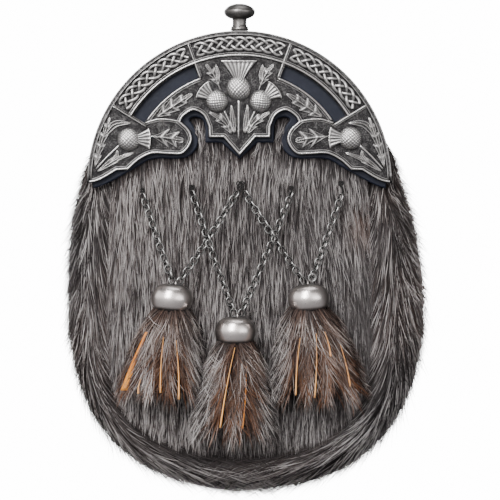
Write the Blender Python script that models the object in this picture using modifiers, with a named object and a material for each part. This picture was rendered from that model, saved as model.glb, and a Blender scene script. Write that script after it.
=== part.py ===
"""Sporran pouch: a leather pouch under grey fur, with a pewter cantle, a knob and three tassels on chains.

The pouch hangs upright. +X is to the right as seen from the front, +Z is up and the front looks towards -Y.
The origin is on the outer face of the back panel, midway between the two strap loops.
"""
import math

import bmesh
import bpy
import numpy as np
from mathutils import Matrix, Vector
from mathutils.geometry import delaunay_2d_cdt

MM = 0.001
GAP = 0.3 * MM              # clearance between two pieces that touch on the real object

# Stations along Y, from the wearer's side (0) to the front (negative).
BACK_PANEL_Y = (0.0, -2.2 * MM)
GUSSET_Y = (-2.5 * MM, -34.4 * MM)
FRONT_PANEL_Y = (-34.7 * MM, -36.3 * MM)
FRONT_FUR_BACK_Y = -36.6 * MM
BACKING_Y = (-40.3 * MM, -42.3 * MM)
FLANGE_Y = (-36.6 * MM, -44.0 * MM)
PLATE_Y = (-42.6 * MM, -44.6 * MM)
KNOB_Y = -40.4 * MM

# The arc that the cantle and the top of the pouch share.
ARC_Z = -34.0 * MM
CANTLE_RADIUS = 76.3 * MM
POUCH_RADIUS = 74.3 * MM
BACKING_RADIUS = 73.6 * MM
POUCH_ARC_END = 70.0        # degrees from straight up where the side gusset starts

# Pouch outlines below the arc.
LEATHER = 2.0 * MM
SEAM_HALF_WIDTH = 66.5 * MM
SEAM_WAIST = 64.5 * MM
SEAM_TURN_Z = -112.5 * MM
SEAM_DROP = 56.0 * MM
SEAM_POWER = 2.5
BACK_HALF_WIDTH = 80.0 * MM
BACK_TURN_Z = -92.5 * MM
BACK_DROP = 83.5 * MM
BACK_RISE = 160.0 * MM
BACK_POWER = 2.4
GUSSET_BULGE = 3.0 * MM

# Fur.
ROLL_HALF_WIDTH = 89.0 * MM
ROLL_SHIFT = 2.5 * MM       # the border's hair hangs a little to the wearer's left
ROLL_TURN_Z = -92.5 * MM
ROLL_DROP = 92.0 * MM
ROLL_RISE = 132.5 * MM
ROLL_TOP_Z = -12.0 * MM
PANEL_SIDE_STATIONS = 8
PANEL_BOTTOM_STATIONS = 14
ROLL_SIDE_STATIONS = 16
ROLL_BOTTOM_STATIONS = 28
BEHIND_CANTLE_Z = -38.5 * MM     # above this the border's fur lies behind the cantle
BEHIND_CANTLE_SLOPE = 0.8
FUR_TOP_Z = 8.0 * MM
FUR_SKIN = 3.0 * MM
FUR_DEPTH = 9.5 * MM
FUR_CLEARANCE = 1.5 * MM      # below the cantle's leather the fur starts to rise after this
FUR_RISE = 9.0 * MM           # and reaches its full depth over this height
LEATHER_REACH = 7.0 * MM
FUR_EDGE_SLOPE = 3.2
FUR_HEM_ROWS = 2.5
FUR_COLUMNS = 22
FUR_ROWS = 24
LOCK_ROWS = 4               # grid rows that one lock of fur covers
LOCK_DEPTH = 1.8 * MM
ROLL_LOCK = 0.10             # how much one lock of the border adds to its reach

# Cantle.
RIM = 2.0 * MM
RIM_HEIGHT = 1.4 * MM
RIM_DRAFT = 0.25 * MM
KNOT_RADII = (66.0 * MM, 73.8 * MM)
WINDOW_RADII = (56.4 * MM, 63.0 * MM)
MIDDLE_RADIUS = 65.0 * MM   # centre line of the rim under the plait panels
LOWER_RADIUS = 55.5 * MM    # centre line of the rim under the windows
DIVIDER = 20.2              # degrees from straight up
WING_DIVIDER = 58.6
ARC_CORNER = 87.0           # where the arc meets the lower edge
ARC_STEP = 7.5
FLANGE_END = 79.8           # degrees from straight up
PLAIT_PITCH = 5.0 * MM
PLAIT_ROW = 2.1 * MM        # height of the upper and lower crossings over the middle ones
STRAND = 1.35 * MM
PLAIT_HEIGHT = 0.9 * MM
SPRIG_HEIGHT = 1.2 * MM
BULB_HEIGHT = 3.2 * MM
CROWN_HEIGHT = 1.7 * MM
CROWN_BEVEL = 0.4 * MM

# Knob, tassel caps and chains.
KNOB_HEAD = 15.6 * MM
KNOB_HEIGHT = 13.6 * MM
KNOB_HEAD_HALF = 4.1 * MM    # half the height of the head
CAP_WIDTH = 20.5 * MM
CAP_HEIGHT = 13.0 * MM
CAP_WALL = 1.0 * MM
CAP_Y = -57.5 * MM
NECK_RADIUS = 5.8 * MM
NECK_TOP = 2.0 * MM
SKIRT_SIDES = 16
SKIRT_HALF_DEPTH = 8.3 * MM
SKIRT_LOCK = 0.07             # how much a lock stands out or in, as a share
SKIRT_TIP = 7.5 * MM          # how far the hollows between two tips reach up
SKIRT_GAP = 1.2 * MM
EYE_RADIUS = 1.7 * MM
EYE_WIRE = 0.55 * MM
EYE_RISE = 0.9 * MM
CHAIN_WIDTH = 2.6 * MM
TIE_Y = -48.6 * MM
TIE_Z = -34.6 * MM
TIE_HEIGHT = 2.2 * MM
TIE_THREAD = 0.5 * MM

# Back.
MOUTH_HALF_WIDTH = 52.0 * MM
MOUTH_CORNER = 4.0 * MM
MOUTH_Z = (-60.0 * MM, -40.0 * MM)
TAB_WIDTH = 22.0 * MM
TAB_THICKNESS = 1.6 * MM
TAB_Z = (-72.0 * MM, -28.0 * MM)
TAB_POINT = 0.6              # rise of the tab's cut corners, as a share of its half width
LOOP_X = 33.0 * MM
LOOP_WIDTH = 14.0 * MM
LOOP_HEIGHT = 50.0 * MM
LOOP_FOOT = 6.0 * MM
LOOP_STAND = 6.5 * MM
LOOP_STEP = 4.0 * MM

# Edge of the cantle from its outer corner to its tip, right half, as rim centre lines in mm.
# Each run is smooth, and the rim turns a corner between two runs.
CANTLE_EDGE = (
    ((75.3, -33.0), (71.8, -32.3), (67.8, -30.5), (61.8, -26.8)),
    ((61.8, -26.8), (56.2, -26.5)),
    ((56.2, -26.5), (50.7, -21.7), (43.9, -18.5), (35.1, -18.7), (28.8, -18.4), (24.8, -13.0), (26.0, -7.8),
     (30.6, -3.4)),
    ((30.6, -3.4), (28.4, 0.2), (23.2, 3.2), (17.6, 0.6), (14.6, -5.6)),
    ((14.6, -5.6), (14.5, -10.3)),
    ((14.5, -10.3), (7.6, -10.3)),
    ((7.6, -10.3), (0.0, -18.9)),
)
# Upper edge of the wing's lobe, from the notch beside the arch out to the wing's divider.
LOBE_EDGE = ((30.6, -3.4), (35.0, -2.5), (41.0, -2.4), (47.8, -4.6))
# Edge of the leather behind the cantle, right half, from its outer corner to its tip.
BACKING_EDGE = (
    ((73.5, -36.7), (66.5, -34.2), (55.0, -27.9), (50.5, -25.3), (45.5, -22.4), (39.9, -21.5), (32.0, -21.7),
     (26.5, -20.9), (22.6, -17.9), (20.9, -14.0), (21.4, -9.0), (23.4, -4.8), (25.2, -2.2), (23.6, -0.9),
     (21.0, -0.9), (18.4, -2.4), (17.4, -6.0), (17.2, -13.6)),
    ((17.2, -13.6), (9.0, -13.6)),
    ((9.0, -13.6), (0.0, -21.7)),
)

# Thistle heads in mm: centre, bulb radius, the crown's turn in degrees from +X, its length and half width.
THISTLES = (
    {"x": 0.0, "z": 13.4, "bulb": 5.4, "turn": 90, "crown": 14.0, "spread": 9.2},
    {"x": 11.0, "z": 7.0, "bulb": 4.9, "turn": 38, "crown": 10.4, "spread": 5.2},
    {"x": -11.0, "z": 7.0, "bulb": 4.9, "turn": 142, "crown": 10.4, "spread": 5.2},
    {"x": 55.4, "z": -12.2, "bulb": 5.0, "turn": 176, "crown": 10.8, "spread": 5.3},
    {"x": -55.4, "z": -12.2, "bulb": 5.0, "turn": 4, "crown": 10.8, "spread": 5.3},
)
# Stems and leaves of the right half in mm: the route of each crest, and its widest half width.
SPRIGS = (
    {"half_width": 1.0, "route": ((8.2, 2.3), (5.2, -3.5), (2.0, -9.2))},
    {"half_width": 1.3, "route": ((4.6, 6.4), (3.8, -1.0), (2.4, -8.4))},
    {"half_width": 1.6, "route": ((15.0, 2.2), (9.6, -3.6), (4.4, -10.0))},
    {"half_width": 1.1, "route": ((11.4, -5.8), (8.6, -6.4), (5.4, -9.0))},
    {"half_width": 1.8, "route": ((17.8, 25.4), (14.6, 20.6), (11.4, 14.2))},
    {"half_width": 1.0, "route": ((10.6, 25.2), (11.6, 21.6), (13.2, 18.6))},
    {"half_width": 2.9, "route": ((41.0, -0.6), (33.4, 4.6), (24.8, 9.6))},
    {"half_width": 0.9, "route": ((24.8, 6.4), (28.0, 5.6), (31.0, 4.4))},
    {"half_width": 1.0, "route": ((59.4, -15.6), (66.0, -21.6), (72.0, -28.2))},
    {"half_width": 2.3, "route": ((54.2, -3.0), (62.6, -5.0), (68.6, -13.2), (72.0, -25.0))},
    {"half_width": 1.0, "route": ((63.0, -0.4), (64.2, -3.0), (66.0, -7.4))},
    {"half_width": 2.0, "route": ((53.0, -18.6), (61.0, -20.8), (69.0, -27.6))},
    {"half_width": 1.1, "route": ((43.4, -10.3), (36.0, -11.2), (28.0, -13.2))},
    {"half_width": 0.8, "route": ((37.2, -6.4), (39.4, -8.2), (41.2, -10.2))},
    {"half_width": 0.8, "route": ((31.4, -6.8), (33.8, -8.8), (35.6, -11.0))},
    {"half_width": 0.8, "route": ((36.6, -15.6), (38.0, -13.6), (39.8, -11.4))},
    {"half_width": 0.8, "route": ((31.2, -15.6), (32.6, -14.0), (34.0, -11.8))},
)

# Tassels in mm: centre and tilt of the cap, and how the fur below it spreads.
TASSELS = (
    {"name": "left", "x": -33.4, "z": -91.0, "tilt": 5,
     "skirt_x": -40.6, "skirt_half": 20.0, "skirt_end": -142.5},
    {"name": "middle", "x": -2.0, "z": -107.2, "tilt": 0,
     "skirt_x": -3.4, "skirt_half": 20.0, "skirt_end": -163.0},
    {"name": "right", "x": 34.2, "z": -91.0, "tilt": -5,
     "skirt_x": 39.8, "skirt_half": 23.0, "skirt_end": -144.0},
)
# Chains in mm: the two ends seen from the front, and how far each bows forwards at the crossing.
CHAINS = (
    {"name": "chain_outer_left", "top": (-48.3, -39.6), "cap": "left", "side": -1, "lift": 0.0},
    {"name": "chain_inner_left", "top": (-1.0, -38.6), "cap": "left", "side": 1, "lift": 0.0},
    {"name": "chain_middle_left", "top": (-23.8, -38.2), "cap": "middle", "side": -1, "lift": 4.9},
    {"name": "chain_middle_right", "top": (26.2, -38.6), "cap": "middle", "side": 1, "lift": 0.0},
    {"name": "chain_inner_right", "top": (2.4, -38.6), "cap": "right", "side": -1, "lift": 3.4},
    {"name": "chain_outer_right", "top": (50.4, -38.6), "cap": "right", "side": 1, "lift": 0.0},
)
# Thread loops in mm, seen from the front.
TIES = (
    {"name": "tie_outer_left", "x": -48.3, "half_width": 1.6},
    {"name": "tie_left", "x": -23.8, "half_width": 1.6},
    {"name": "tie_middle", "x": 0.7, "half_width": 2.9},
    {"name": "tie_right", "x": 26.2, "half_width": 1.6},
    {"name": "tie_outer_right", "x": 50.4, "half_width": 1.6},
)
# Tan edges of the hide strips in mm: the two ends of each and its width, seen from the front.
STRIPS = (
    {"name": "strip_left_1", "tassel": "left", "top": (-45.8, -108.0), "end": (-56.8, -136.8), "width": 2.6},
    {"name": "strip_left_2", "tassel": "left", "top": (-37.3, -110.5), "end": (-38.8, -137.8), "width": 1.2},
    {"name": "strip_left_3", "tassel": "left", "top": (-31.2, -112.0), "end": (-29.8, -141.0), "width": 1.2},
    {"name": "strip_middle_1", "tassel": "middle", "top": (-3.4, -122.0), "end": (-9.4, -155.0),
     "width": 1.2},
    {"name": "strip_middle_2", "tassel": "middle", "top": (3.4, -124.8), "end": (1.6, -155.4),
     "width": 1.0},
    {"name": "strip_right_1", "tassel": "right", "top": (30.0, -110.8), "end": (27.8, -139.0), "width": 1.2},
    {"name": "strip_right_2", "tassel": "right", "top": (37.9, -108.7), "end": (37.1, -140.2), "width": 1.2},
    {"name": "strip_right_3", "tassel": "right", "top": (49.8, -114.1), "end": (54.7, -134.7), "width": 1.2},
)

# Section of the border's fur: how far out from the seam to the outer edge, and its place along Y in mm.
ROLL_SECTION = (
    {"out": 0.00, "y": -38.8}, {"out": 0.20, "y": -42.2}, {"out": 0.52, "y": -43.6},
    {"out": 0.80, "y": -39.5}, {"out": 0.97, "y": -30.5}, {"out": 1.00, "y": -20.0}, {"out": 0.86, "y": -8.0},
)
# Rings of a tassel's fur: how far down it and how wide, as shares of the skirt's own length and half width.
SKIRT_RINGS = (
    {"fall": 0.07, "spread": 0.46}, {"fall": 0.30, "spread": 0.62}, {"fall": 0.62, "spread": 0.84},
    {"fall": 0.86, "spread": 1.00}, {"fall": 1.00, "spread": 0.96},
)

# Surface finishes: colour, roughness and metallic value.
FINISHES = {
    "pouch_leather": ((0.020, 0.019, 0.020), 0.55, 0.0),
    "backing_leather": ((0.035, 0.042, 0.065), 0.42, 0.0),
    "grey_fur": ((0.120, 0.110, 0.104), 0.75, 0.0),
    "tassel_fur": ((0.140, 0.115, 0.100), 0.75, 0.0),
    "pewter": ((0.330, 0.315, 0.300), 0.35, 1.0),
    "satin_pewter": ((0.560, 0.530, 0.510), 0.38, 1.0),
    "chain_metal": ((0.300, 0.300, 0.295), 0.35, 1.0),
    "tan_hide": ((0.630, 0.270, 0.080), 0.60, 0.0),
    "black_thread": ((0.010, 0.010, 0.011), 0.70, 0.0),
}


# ---------------------------------------------------------------- scene, materials and small helpers

def clear_scene():
    for old in list(bpy.data.objects):
        bpy.data.objects.remove(old, do_unlink=True)


def make_collection(name):
    collection = bpy.data.collections.new(name)
    bpy.context.scene.collection.children.link(collection)
    return collection


def finish(name):
    """The material with this name, made the first time it is asked for."""
    material = bpy.data.materials.get(name)
    if material:
        return material
    colour, roughness, metallic = FINISHES[name]
    material = bpy.data.materials.new(name)
    material.use_nodes = True
    shader = material.node_tree.nodes["Principled BSDF"]
    shader.inputs["Base Color"].default_value = (*colour, 1.0)
    shader.inputs["Roughness"].default_value = roughness
    shader.inputs["Metallic"].default_value = metallic
    return material


def place(name, mesh, material, collection):
    """Puts a mesh in the scene as a named object with its finish."""
    mesh.materials.clear()
    mesh.materials.append(finish(material))
    piece = bpy.data.objects.new(name, mesh)
    collection.objects.link(piece)
    return piece


def from_faces(name, points, faces, material, collection):
    """A mesh from points and faces, with its faces turned outwards."""
    mesh = bpy.data.meshes.new(name)
    mesh.from_pydata([tuple(map(float, point)) for point in points], [], faces)
    solid = bmesh.new()
    solid.from_mesh(mesh)
    bmesh.ops.recalc_face_normals(solid, faces=solid.faces)
    solid.to_mesh(mesh)
    solid.free()
    return place(name, mesh, material, collection)


def in_mm(rows):
    return np.array(rows, dtype=float) * MM


def smooth_run(points, per_span=3):
    """A smooth curve through all the points, which keeps the first and the last."""
    points = np.asarray(points, dtype=float)
    if len(points) < 3:
        return points
    padded = np.vstack((2 * points[0] - points[1], points, 2 * points[-1] - points[-2]))
    curve = []
    for a, b, c, d in zip(padded, padded[1:], padded[2:], padded[3:]):
        for t in np.arange(per_span) / per_span:
            curve.append(0.5 * (2 * b + (c - a) * t + (2 * a - 5 * b + 4 * c - d) * t ** 2
                                + (3 * b - a - 3 * c + d) * t ** 3))
    curve.append(points[-1])
    return np.array(curve)


def arc(radius, start, end, step=ARC_STEP):
    """Points on a circle about the arc's centre, by degrees from straight up towards +X."""
    count = max(2, int(math.ceil(abs(end - start) / step)) + 1)
    turn = np.radians(np.linspace(start, end, count))
    return np.stack((radius * np.sin(turn), ARC_Z + radius * np.cos(turn)), axis=1)


def joined(*runs):
    """One outline from runs that follow each other, without the points that two runs share."""
    points = np.vstack(runs)
    keep = np.linalg.norm(points - np.roll(points, 1, axis=0), axis=1) > 0.02 * MM
    return points[keep]


def mirrored(points):
    """The same run on the other side, in the opposite order."""
    return (points * (-1, 1))[::-1]


def grown(outline, distance):
    """A closed outline moved outwards by a distance, or inwards where it is negative."""
    before = outline - np.roll(outline, 1, axis=0)
    after = np.roll(outline, -1, axis=0) - outline
    area = np.sum(outline[:, 0] * np.roll(outline[:, 1], -1) - outline[:, 1] * np.roll(outline[:, 0], -1))
    side = math.copysign(1.0, area)
    out_before = side * np.stack((before[:, 1], -before[:, 0]), axis=1)
    out_after = side * np.stack((after[:, 1], -after[:, 0]), axis=1)
    out_before /= np.linalg.norm(out_before, axis=1)[:, None]
    out_after /= np.linalg.norm(out_after, axis=1)[:, None]
    both = out_before + out_after
    sharpness = np.maximum(1 + np.sum(out_before * out_after, axis=1), 0.35)
    return outline + both / sharpness[:, None] * distance


# ---------------------------------------------------------------- ways of making a solid

def flat_solid(name, loops, y_span, material, collection):
    """Outlines in the XZ plane, with a hole where one lies in another, filled and given their thickness."""
    curve = bpy.data.curves.new(name, "CURVE")
    curve.dimensions = "2D"
    curve.fill_mode = "BOTH"
    curve.extrude = abs(y_span[1] - y_span[0]) / 2
    for loop in loops:
        spline = curve.splines.new("POLY")
        spline.points.add(len(loop) - 1)
        places = np.column_stack((loop, np.zeros(len(loop)), np.ones(len(loop))))
        spline.points.foreach_set("co", places.ravel())
        spline.use_cyclic_u = True
    upright = Matrix.Translation((0, (y_span[0] + y_span[1]) / 2, 0)) @ Matrix.Rotation(math.pi / 2, 4, "X")
    return curve_to_mesh(name, curve, upright, material, collection)


def curve_to_mesh(name, curve, matrix, material, collection):
    """The evaluated curve as a mesh with its loose caps welded."""
    guide = bpy.data.objects.new(name + "_curve", curve)
    guide.matrix_world = matrix
    collection.objects.link(guide)
    bpy.context.view_layer.update()
    evaluated = guide.evaluated_get(bpy.context.evaluated_depsgraph_get())
    mesh = bpy.data.meshes.new_from_object(evaluated)
    mesh.transform(matrix)
    solid = bmesh.new()
    solid.from_mesh(mesh)
    bmesh.ops.remove_doubles(solid, verts=solid.verts, dist=0.01 * MM)
    bmesh.ops.recalc_face_normals(solid, faces=solid.faces)
    solid.to_mesh(mesh)
    solid.free()
    bpy.data.objects.remove(guide, do_unlink=True)
    bpy.data.curves.remove(curve)
    return place(name, mesh, material, collection)


def tube(name, route, radius, material, collection):
    """A round tube with filled ends along a list of points."""
    curve = bpy.data.curves.new(name, "CURVE")
    curve.dimensions = "3D"
    curve.bevel_depth = radius
    curve.bevel_resolution = 2
    curve.use_fill_caps = True
    spline = curve.splines.new("POLY")
    spline.points.add(len(route) - 1)
    spline.points.foreach_set("co", np.column_stack((route, np.ones(len(route)))).ravel())
    return curve_to_mesh(name, curve, Matrix.Identity(4), material, collection)


def turned(name, profile, steps, material, collection):
    """A profile of radius and height, listed from top to bottom down its outer side, turned about Z."""
    mesh = bpy.data.meshes.new(name)
    mesh.from_pydata([(r, 0, z) for r, z in profile], [(k, k + 1) for k in range(len(profile) - 1)], [])
    piece = place(name, mesh, material, collection)
    screw = piece.modifiers.new("turn", "SCREW")
    screw.steps = steps
    screw.render_steps = steps
    screw.use_merge_vertices = True
    screw.merge_threshold = 0.01 * MM
    return piece


def loft(name, rings, material, collection, endless=False):
    """Closed rings of as many points each, joined in turn, with two end caps or as an endless loop."""
    count = len(rings[0])
    points = [point for ring in rings for point in ring]
    faces = []
    for r in range(len(rings) if endless else len(rings) - 1):
        after = (r + 1) % len(rings)
        for k in range(count):
            n = (k + 1) % count
            faces.append((r * count + k, r * count + n, after * count + n, after * count + k))
    if not endless:
        faces.append(tuple(range(count))[::-1])
        faces.append(tuple(range((len(rings) - 1) * count, len(rings) * count)))
    return from_faces(name, points, faces, material, collection)


def wire_ring(name, place_point, major, minor, material, collection):
    """A closed ring of wire: place_point gives a point by its angles round the ring and round the wire."""
    around = np.linspace(0, 2 * math.pi, minor, endpoint=False)
    rings = [[place_point(a, b) for b in around] for a in np.linspace(0, 2 * math.pi, major, endpoint=False)]
    return loft(name, rings, material, collection, endless=True)


def unite(target, others, cutters):
    """Joins closed solids to the target with exact unions. The others are kept as guides."""
    for other in others:
        union = target.modifiers.new("join_" + other.name, "BOOLEAN")
        union.operation = "UNION"
        union.solver = "EXACT"
        union.object = other
        make_guide(other, cutters)


def make_guide(piece, cutters):
    for holder in list(piece.users_collection):
        holder.objects.unlink(piece)
    cutters.objects.link(piece)
    piece.hide_render = True
    piece.display_type = "WIRE"


# ---------------------------------------------------------------- outlines of the pouch

def turn_angles(count):
    """Angles round the bottom from the side to straight down, for one side."""
    return np.linspace(0, math.pi / 2, count + 1)


def power_arc(half_width, drop, power, turn_z, angles):
    """A superellipse from its widest point on +X down to its lowest point."""
    x = half_width * np.cos(angles) ** (2 / power)
    z = turn_z - drop * np.sin(angles) ** (2 / power)
    return np.stack((x, z), axis=1)


def seam_half_width(z):
    """Half width of the front panel: it leaves the arc, draws in to a waist and widens again lower down."""
    arc_end = POUCH_RADIUS * math.sin(math.radians(POUCH_ARC_END))
    arc_end_z = ARC_Z + POUCH_RADIUS * math.cos(math.radians(POUCH_ARC_END))
    upper = np.clip((z - ARC_Z) / (arc_end_z - ARC_Z), 0, 1)
    lower = np.clip((ARC_Z - z) / (ARC_Z - BACK_TURN_Z), 0, 1)
    waist = SEAM_WAIST + (arc_end - SEAM_WAIST) * upper ** 1.5
    return waist + (SEAM_HALF_WIDTH - SEAM_WAIST) * lower ** 1.5


def back_half_width(z):
    """Half width of the back panel: the arc, and below its centre a slow swell."""
    on_arc = np.sqrt(np.maximum(POUCH_RADIUS ** 2 - (z - ARC_Z) ** 2, 0))
    swell = BACK_HALF_WIDTH * np.sqrt(1 - ((z - BACK_TURN_Z) / BACK_RISE) ** 2)
    return np.where(z > ARC_Z, on_arc, swell)


def right_side(half_width, top_z, turn_z, arc_half, drop, power, side_count, bottom_count):
    """Points down the right side of an outline and round to its lowest point."""
    z = np.linspace(top_z, turn_z, side_count + 1)[:-1]
    side = np.stack((half_width(z), z), axis=1)
    return np.vstack((side, power_arc(arc_half, drop, power, turn_z, turn_angles(bottom_count))))


def gusset_line(kind, side_count, bottom_count):
    """The seam's or the back's line from the upper right, round the bottom and up to the upper left."""
    top_z = ARC_Z + POUCH_RADIUS * math.cos(math.radians(POUCH_ARC_END))
    if kind == "seam":
        right = right_side(seam_half_width, top_z, SEAM_TURN_Z, SEAM_HALF_WIDTH, SEAM_DROP, SEAM_POWER,
                           side_count, bottom_count)
    else:
        right = right_side(back_half_width, top_z, BACK_TURN_Z, BACK_HALF_WIDTH, BACK_DROP, BACK_POWER,
                           side_count, bottom_count)
    return np.vstack((right, mirrored(right)[1:]))


def outward(line):
    """Unit vectors in XZ that point away from the pouch, for a line that runs from right to left."""
    along = np.gradient(line, axis=0)
    normal = np.stack((-along[:, 1], along[:, 0]), axis=1)
    return normal / np.linalg.norm(normal, axis=1)[:, None]


def gusset_surface(side_count, bottom_count, fractions):
    """Rows of points across the gusset's outer face, from the front seam (0) to the back (1)."""
    seam = gusset_line("seam", side_count, bottom_count)
    back = gusset_line("back", side_count, bottom_count)
    out = outward(back)
    rows = []
    for fraction in fractions:
        flat = seam + (back - seam) * fraction + out * GUSSET_BULGE * math.sin(math.pi * fraction)
        y = GUSSET_Y[1] + (GUSSET_Y[0] - GUSSET_Y[1]) * fraction
        rows.append(np.column_stack((flat[:, 0], np.full(len(flat), y), flat[:, 1])))
    return np.array(rows), out


# ---------------------------------------------------------------- leather

def add_panels(parts):
    """Back panel with the pouch's mouth cut through it, and the front panel that carries the fur."""
    top = arc(POUCH_RADIUS, -POUCH_ARC_END, POUCH_ARC_END)
    back = joined(top, gusset_line("back", PANEL_SIDE_STATIONS, PANEL_BOTTOM_STATIONS))
    low, high = MOUTH_Z
    x, cut = MOUTH_HALF_WIDTH, MOUTH_CORNER
    mouth = np.array(((x, low + cut), (x, high - cut), (x - cut, high), (cut - x, high),
                      (-x, high - cut), (-x, low + cut), (cut - x, low), (x - cut, low)))
    flat_solid("back_panel", (back, mouth), BACK_PANEL_Y, "pouch_leather", parts)
    seam = joined(top, gusset_line("seam", PANEL_SIDE_STATIONS, PANEL_BOTTOM_STATIONS))
    flat_solid("front_panel", (seam,), FRONT_PANEL_Y, "pouch_leather", parts)


def add_side_gusset(parts):
    """Leather wall round the sides and the bottom, bulged outwards and cut square at both edges."""
    rows, out = gusset_surface(ROLL_SIDE_STATIONS // 2, ROLL_BOTTOM_STATIONS // 4, (0, 0.25, 0.5, 0.75, 1))
    inwards = np.column_stack((-out[:, 0], np.zeros(len(out)), -out[:, 1])) * LEATHER
    rings = []
    for k in range(rows.shape[1]):
        outer = [row[k] for row in rows]
        rings.append(outer + [point + inwards[k] for point in outer[::-1]])
    loft("side_gusset", rings, "pouch_leather", parts)


def add_top_gusset(parts):
    """Leather wall under the arc, from one end of the side gusset to the other."""
    end = POUCH_ARC_END - math.degrees(GAP / POUCH_RADIUS)
    outer = arc(POUCH_RADIUS, -end, end)
    inner = arc(POUCH_RADIUS - LEATHER, -end, end)
    flat_solid("top_gusset", (np.vstack((outer, inner[::-1])),), GUSSET_Y, "pouch_leather", parts)


def backing_outline():
    edge = [smooth_run(in_mm(run), 1) for run in BACKING_EDGE]
    half = joined(*edge)
    corner = math.degrees(math.atan2(half[0][0], half[0][1] - ARC_Z))
    top = arc(BACKING_RADIUS, -corner, corner)
    return joined(top, half, mirrored(half))


def add_backing(parts):
    """Smooth dark leather behind the cantle, which shows round its lower edge and in its two windows."""
    flat_solid("cantle_backing", (backing_outline(),), BACKING_Y, "backing_leather", parts)


def add_back_fittings(parts):
    """Two leather loops for the belt strap, and the plain tab over the middle of the mouth."""
    half, step = LOOP_HEIGHT / 2, LOOP_STEP
    inner = half - LOOP_FOOT
    near, far = GAP + LEATHER, LOOP_STAND + LEATHER
    profile = ((GAP, -half), (GAP, step - inner - LEATHER), (LOOP_STAND, LEATHER + step - inner),
               (LOOP_STAND, inner - step - LEATHER), (GAP, inner + LEATHER - step), (GAP, half),
               (near, half), (near, inner + LEATHER), (far, inner - step),
               (far, step - inner), (near, -inner - LEATHER), (near, -half))
    for side, name in ((-1, "strap_loop_left"), (1, "strap_loop_right")):
        rings = []
        for x in (side * LOOP_X - LOOP_WIDTH / 2, side * LOOP_X + LOOP_WIDTH / 2):
            rings.append([(x, y, z) for y, z in profile])
        loft(name, rings, "pouch_leather", parts)
    low, high = TAB_Z
    x = TAB_WIDTH / 2
    rise = TAB_POINT * x
    tab = np.array(((x, high), (-x, high), (-x, low + rise), (-x / 2, low), (x / 2, low), (x, low + rise)))
    flat_solid("closing_tab", (tab,), (GAP, GAP + TAB_THICKNESS), "pouch_leather", parts)


# ---------------------------------------------------------------- fur

def lock_shift(index):
    """A fixed, uneven start for each column of locks."""
    return (index * 0.618034) % 1.0


def lock_swell(row, column):
    """Shingled locks: each swells towards its tip and drops sharply to the next, 0 to 1."""
    return (row / LOCK_ROWS + lock_shift(column)) % 1.0


def low_edge_near(outline, x, reach):
    """The lowest point of an outline within a distance of x."""
    ring = np.vstack((outline, outline[:1]))
    fine = np.vstack([a + (b - a) * np.linspace(0, 1, 12)[:, None] for a, b in zip(ring, ring[1:])])
    near = fine[np.abs(fine[:, 0] - x) < reach]
    return near[:, 1].min()


def add_front_fur(parts):
    """Fur on the front panel: thin under the cantle, domed below it, in locks that run straight down."""
    rows, columns = FUR_ROWS, FUR_COLUMNS
    grid = np.zeros((columns + 1, rows + 1, 3))
    leather = backing_outline()
    for c in range(columns + 1):
        across = math.sin((2 * c / columns - 1) * math.pi / 2)
        rim = abs(across) ** SEAM_POWER
        bottom = SEAM_TURN_Z - (SEAM_DROP - GAP) * max(1 - rim, 0) ** (1 / SEAM_POWER)
        bottom += (0.4 + 2.0 * lock_shift(c)) * MM * (1 - rim)
        low_edge = low_edge_near(leather, across * SEAM_HALF_WIDTH, LEATHER_REACH)
        for r in range(rows + 1):
            z = FUR_TOP_Z + (bottom - FUR_TOP_Z) * r / rows
            half = float(seam_half_width(z)) - 2 * GAP
            if z > ARC_Z:
                half = min(half, math.sqrt((POUCH_RADIUS - GAP) ** 2 - (z - ARC_Z) ** 2))
            x = across * half
            open_air = min(max((low_edge - FUR_CLEARANCE - z) / FUR_RISE, 0), 1)
            edge = min(1.0, FUR_EDGE_SLOPE * (1 - abs(across))) * min(1.0, (rows - r) / FUR_HEM_ROWS)
            depth = FUR_SKIN + (FUR_DEPTH - FUR_SKIN - LOCK_DEPTH) * open_air * math.sqrt(max(edge, 0))
            depth += LOCK_DEPTH * lock_swell(r, c) * open_air * (0.4 + 0.6 * edge)
            grid[c, r] = (x, FRONT_FUR_BACK_Y - depth, z)
    front = grid.reshape(-1, 3)
    rim_keys = [(c, 0) for c in range(columns + 1)]
    rim_keys += [(columns, r) for r in range(1, rows + 1)]
    rim_keys += [(c, rows) for c in range(columns - 1, -1, -1)]
    rim_keys += [(0, r) for r in range(rows - 1, 0, -1)]
    back = [(grid[c, r][0], FRONT_FUR_BACK_Y, grid[c, r][2]) for c, r in rim_keys]
    faces = []
    for c in range(columns):
        for r in range(rows):
            a = c * (rows + 1) + r
            b = a + rows + 1
            faces.append((a, a + 1, b + 1, b))
    first = len(front)
    for k, (c, r) in enumerate(rim_keys):
        n = (k + 1) % len(rim_keys)
        cn, rn = rim_keys[n]
        faces.append((c * (rows + 1) + r, cn * (rows + 1) + rn, first + n, first + k))
    faces.append(tuple(range(first, first + len(back))))
    from_faces("front_fur", np.vstack((front, back)), faces, "grey_fur", parts)


def roll_line(side_count, bottom_count):
    """Outer edge of the border's fur, seen from the front."""
    def half_width(z):
        return ROLL_HALF_WIDTH * np.sqrt(1 - ((z - ROLL_TURN_Z) / ROLL_RISE) ** 2)
    top_z = ARC_Z + POUCH_RADIUS * math.cos(math.radians(POUCH_ARC_END))
    right = right_side(half_width, top_z, ROLL_TURN_Z, ROLL_HALF_WIDTH, ROLL_DROP, BACK_POWER,
                       side_count, bottom_count)
    line = np.vstack((right, mirrored(right)[1:]))
    shift = np.clip((ROLL_TOP_Z - line[:, 1]) / (ROLL_TOP_Z - ROLL_TURN_Z), 0, 1)
    line[:, 0] += ROLL_SHIFT * shift
    return line


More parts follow.
